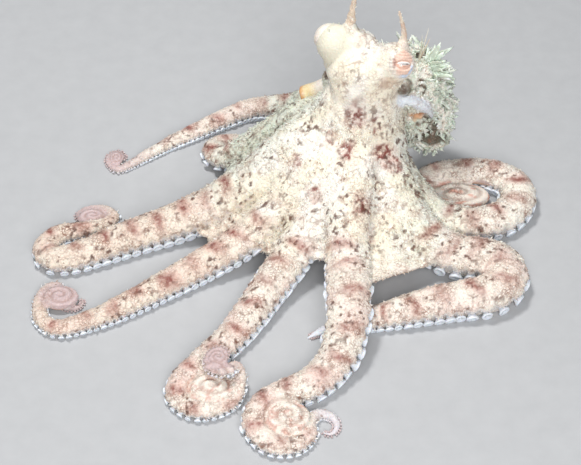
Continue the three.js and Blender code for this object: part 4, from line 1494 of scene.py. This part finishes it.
def horn(name, material):
    """The tall papilla over an eye: knobbed, ringed at its foot, and running out to a fine tip."""
    facts = HORNS[name]
    spine = curve_through(facts["spine"], 40)
    along = unit(np.gradient(spine, axis=0))
    first, second = perpendiculars(along)
    share = np.linspace(0, 1, len(spine))
    radius = np.interp(share, [0, 0.5, 1], facts["radii"])
    radius = radius * (1 + 0.5 * smooth(share, 0.4, 0.1)) * (1 + 0.12 * noise(spine, 2.2, 36))
    out = hoops(first, second, HORN_AROUND)
    surface = spine[:, None] + out * radius[:, None, None]
    knobs = layered(surface, 1.2, 33, 3) * 0.42 + 0.03 * np.cos(2 * math.pi * share / 0.07)[:, None]
    surface = surface + out * (knobs * np.minimum(radius, 1.2)[:, None])[..., None]
    points, faces = loft(surface)
    colours = painted(len(points), HORN_TAN, [
        (IVORY, smooth(layered(points, 1.4, 34), 0, 0.6) * 0.7),
        (FLUSH, 0.25 * smooth(layered(points, 2.2, 35), 0.0, 0.5)),
        (CREAM, 0.85 * smooth(points[:, 2] - spine[0, 2], 7, 2)),
    ])
    finish_piece(painted_mesh(name, points, faces, colours, 0.3), material, "horn", name)
    horn_knobs(name, material, spine, along, first, second, share, radius)


def funnel(material):
    """A short, soft tube with a rolled orange lip, open at its end."""
    root, tip = np.array(FUNNEL["root"], float), np.array(FUNNEL["tip"], float)
    out = unit(tip - root)
    length = np.linalg.norm(tip - root)
    big, small, bore = FUNNEL["root_radius"], FUNNEL["tip_radius"], FUNNEL["bore"]
    share = np.linspace(0, 1, 40)
    outside = [(length * t, big + (small - big) * t - 0.35 * math.sin(math.pi * t)) for t in share]
    lip = [(length + 0.35, small - 0.1), (length + 0.6, small - 0.5), (length + 0.4, small - 0.95)]
    inside = [(length - 0.4, bore + 0.1), (length - 2, bore), (length - 5, 0.8 * bore)]
    spread = hoops(*perpendiculars(out[None]), FUNNEL_AROUND)[0]
    rings = np.array([root + out * far + spread * wide for far, wide in outside + lip + inside])
    rings += 0.14 * spread * layered(rings, 1.8, 71, 2)[..., None]
    points, faces = loft(rings)
    far = (points - root) @ out / length
    colours = 0.95 * painted(len(points), GREEN, [
        (CREAM, smooth(far, 0.25, 0.55)),
        (GOLD, 0.7 * smooth(far, 0.55, 0.85)),
        (ORANGE, 0.8 * smooth(far, 0.9, 1.02)),
        (IVORY, 0.4 * smooth(layered(points, 1.6, 72), 0.1, 0.6)),
    ])
    finish_piece(painted_mesh("funnel", points, faces, colours, 0.25), material, "funnel_skin", "funnel")


# ---------------- the octopus
skin_object = one_skin()
skin = Skin(skin_object, shape_skin(skin_object))
flesh = [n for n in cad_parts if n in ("head", "mantle") or n.startswith("arm_")]
body_material = skin_material("body_skin", net_size=1.05, bump=0.55, gloss=0.42)
finish_piece(skin_object, body_material, "skin", *flesh)
papilla_material = skin_material("papilla_skin", net_size=0.7, bump=0.35, gloss=0.42)
papilla_coat(skin, papilla_material)
mantle_shag(skin, papilla_material)
web_fringe(skin, papilla_material)
suckers(skin_material("sucker_skin", net_size=0.6, bump=0.15, gloss=0.32, dark=MAUVE, light=0.3))
head_material = skin_material("head_skin", net_size=0.8, bump=0.3, gloss=0.38)
for eye_name in EYE_PLACES:
    eyeball(eye_name)
eyelid("eye_left", head_material, LID_PINK, narrow=1.0, folded=1.0)
eyelid("eye_right", head_material, CREAM, narrow=0.6, folded=0.15)
for horn_name in HORNS:
    horn(horn_name, head_material)
funnel(head_material)


# ---------------- stage
def stage_floor():
    """A level floor, wide enough to fill every view."""
    mesh = bpy.data.meshes.new("floor")
    reach = FLOOR_REACH
    corners = [(-reach, -reach, 0), (reach, -reach, 0), (reach, reach, 0), (-reach, reach, 0)]
    mesh.from_pydata(corners, [], [(0, 1, 2, 3)])
    floor = add_object("floor", mesh)
    mesh.materials.append(floor_material())


def set_camera():
    """The camera of the photo, which looks down at the origin of the model's own layout."""
    tilt = math.radians(CAMERA_ELEVATION)
    camera = add_object("camera", bpy.data.cameras.new("camera"))
    back = np.array([0, -math.cos(tilt), math.sin(tilt)])
    camera.location = (ROW_PLACE + CAMERA_DISTANCE * back) * MM
    camera.rotation_euler = (math.pi / 2 - tilt, 0, 0)
    camera.data.lens = LENS
    camera.data.sensor_width = SENSOR
    camera.data.clip_start = 0.01
    bpy.context.scene.camera = camera


def set_lights():
    """A small hard key from above and behind, a wide soft fill from the front, and a pale sky."""
    for name, (where, power, size, colour) in LIGHTS.items():
        light = add_object(name, bpy.data.lights.new(name, "AREA"))
        light.data.energy, light.data.size, light.data.color = power, size, colour
        light.location = where
        light.rotation_euler = (-Vector(where)).to_track_quat("-Z", "Y").to_euler()
    world = bpy.data.worlds.new("studio")
    world.use_nodes = True
    sky = world.node_tree.nodes["Background"].inputs
    sky["Color"].default_value = (*SKY, 1)
    sky["Strength"].default_value = WORLD_STRENGTH
    bpy.context.scene.world = world
    bpy.context.scene.view_settings.view_transform = "Standard"


stage_floor()
set_camera()
set_lights()
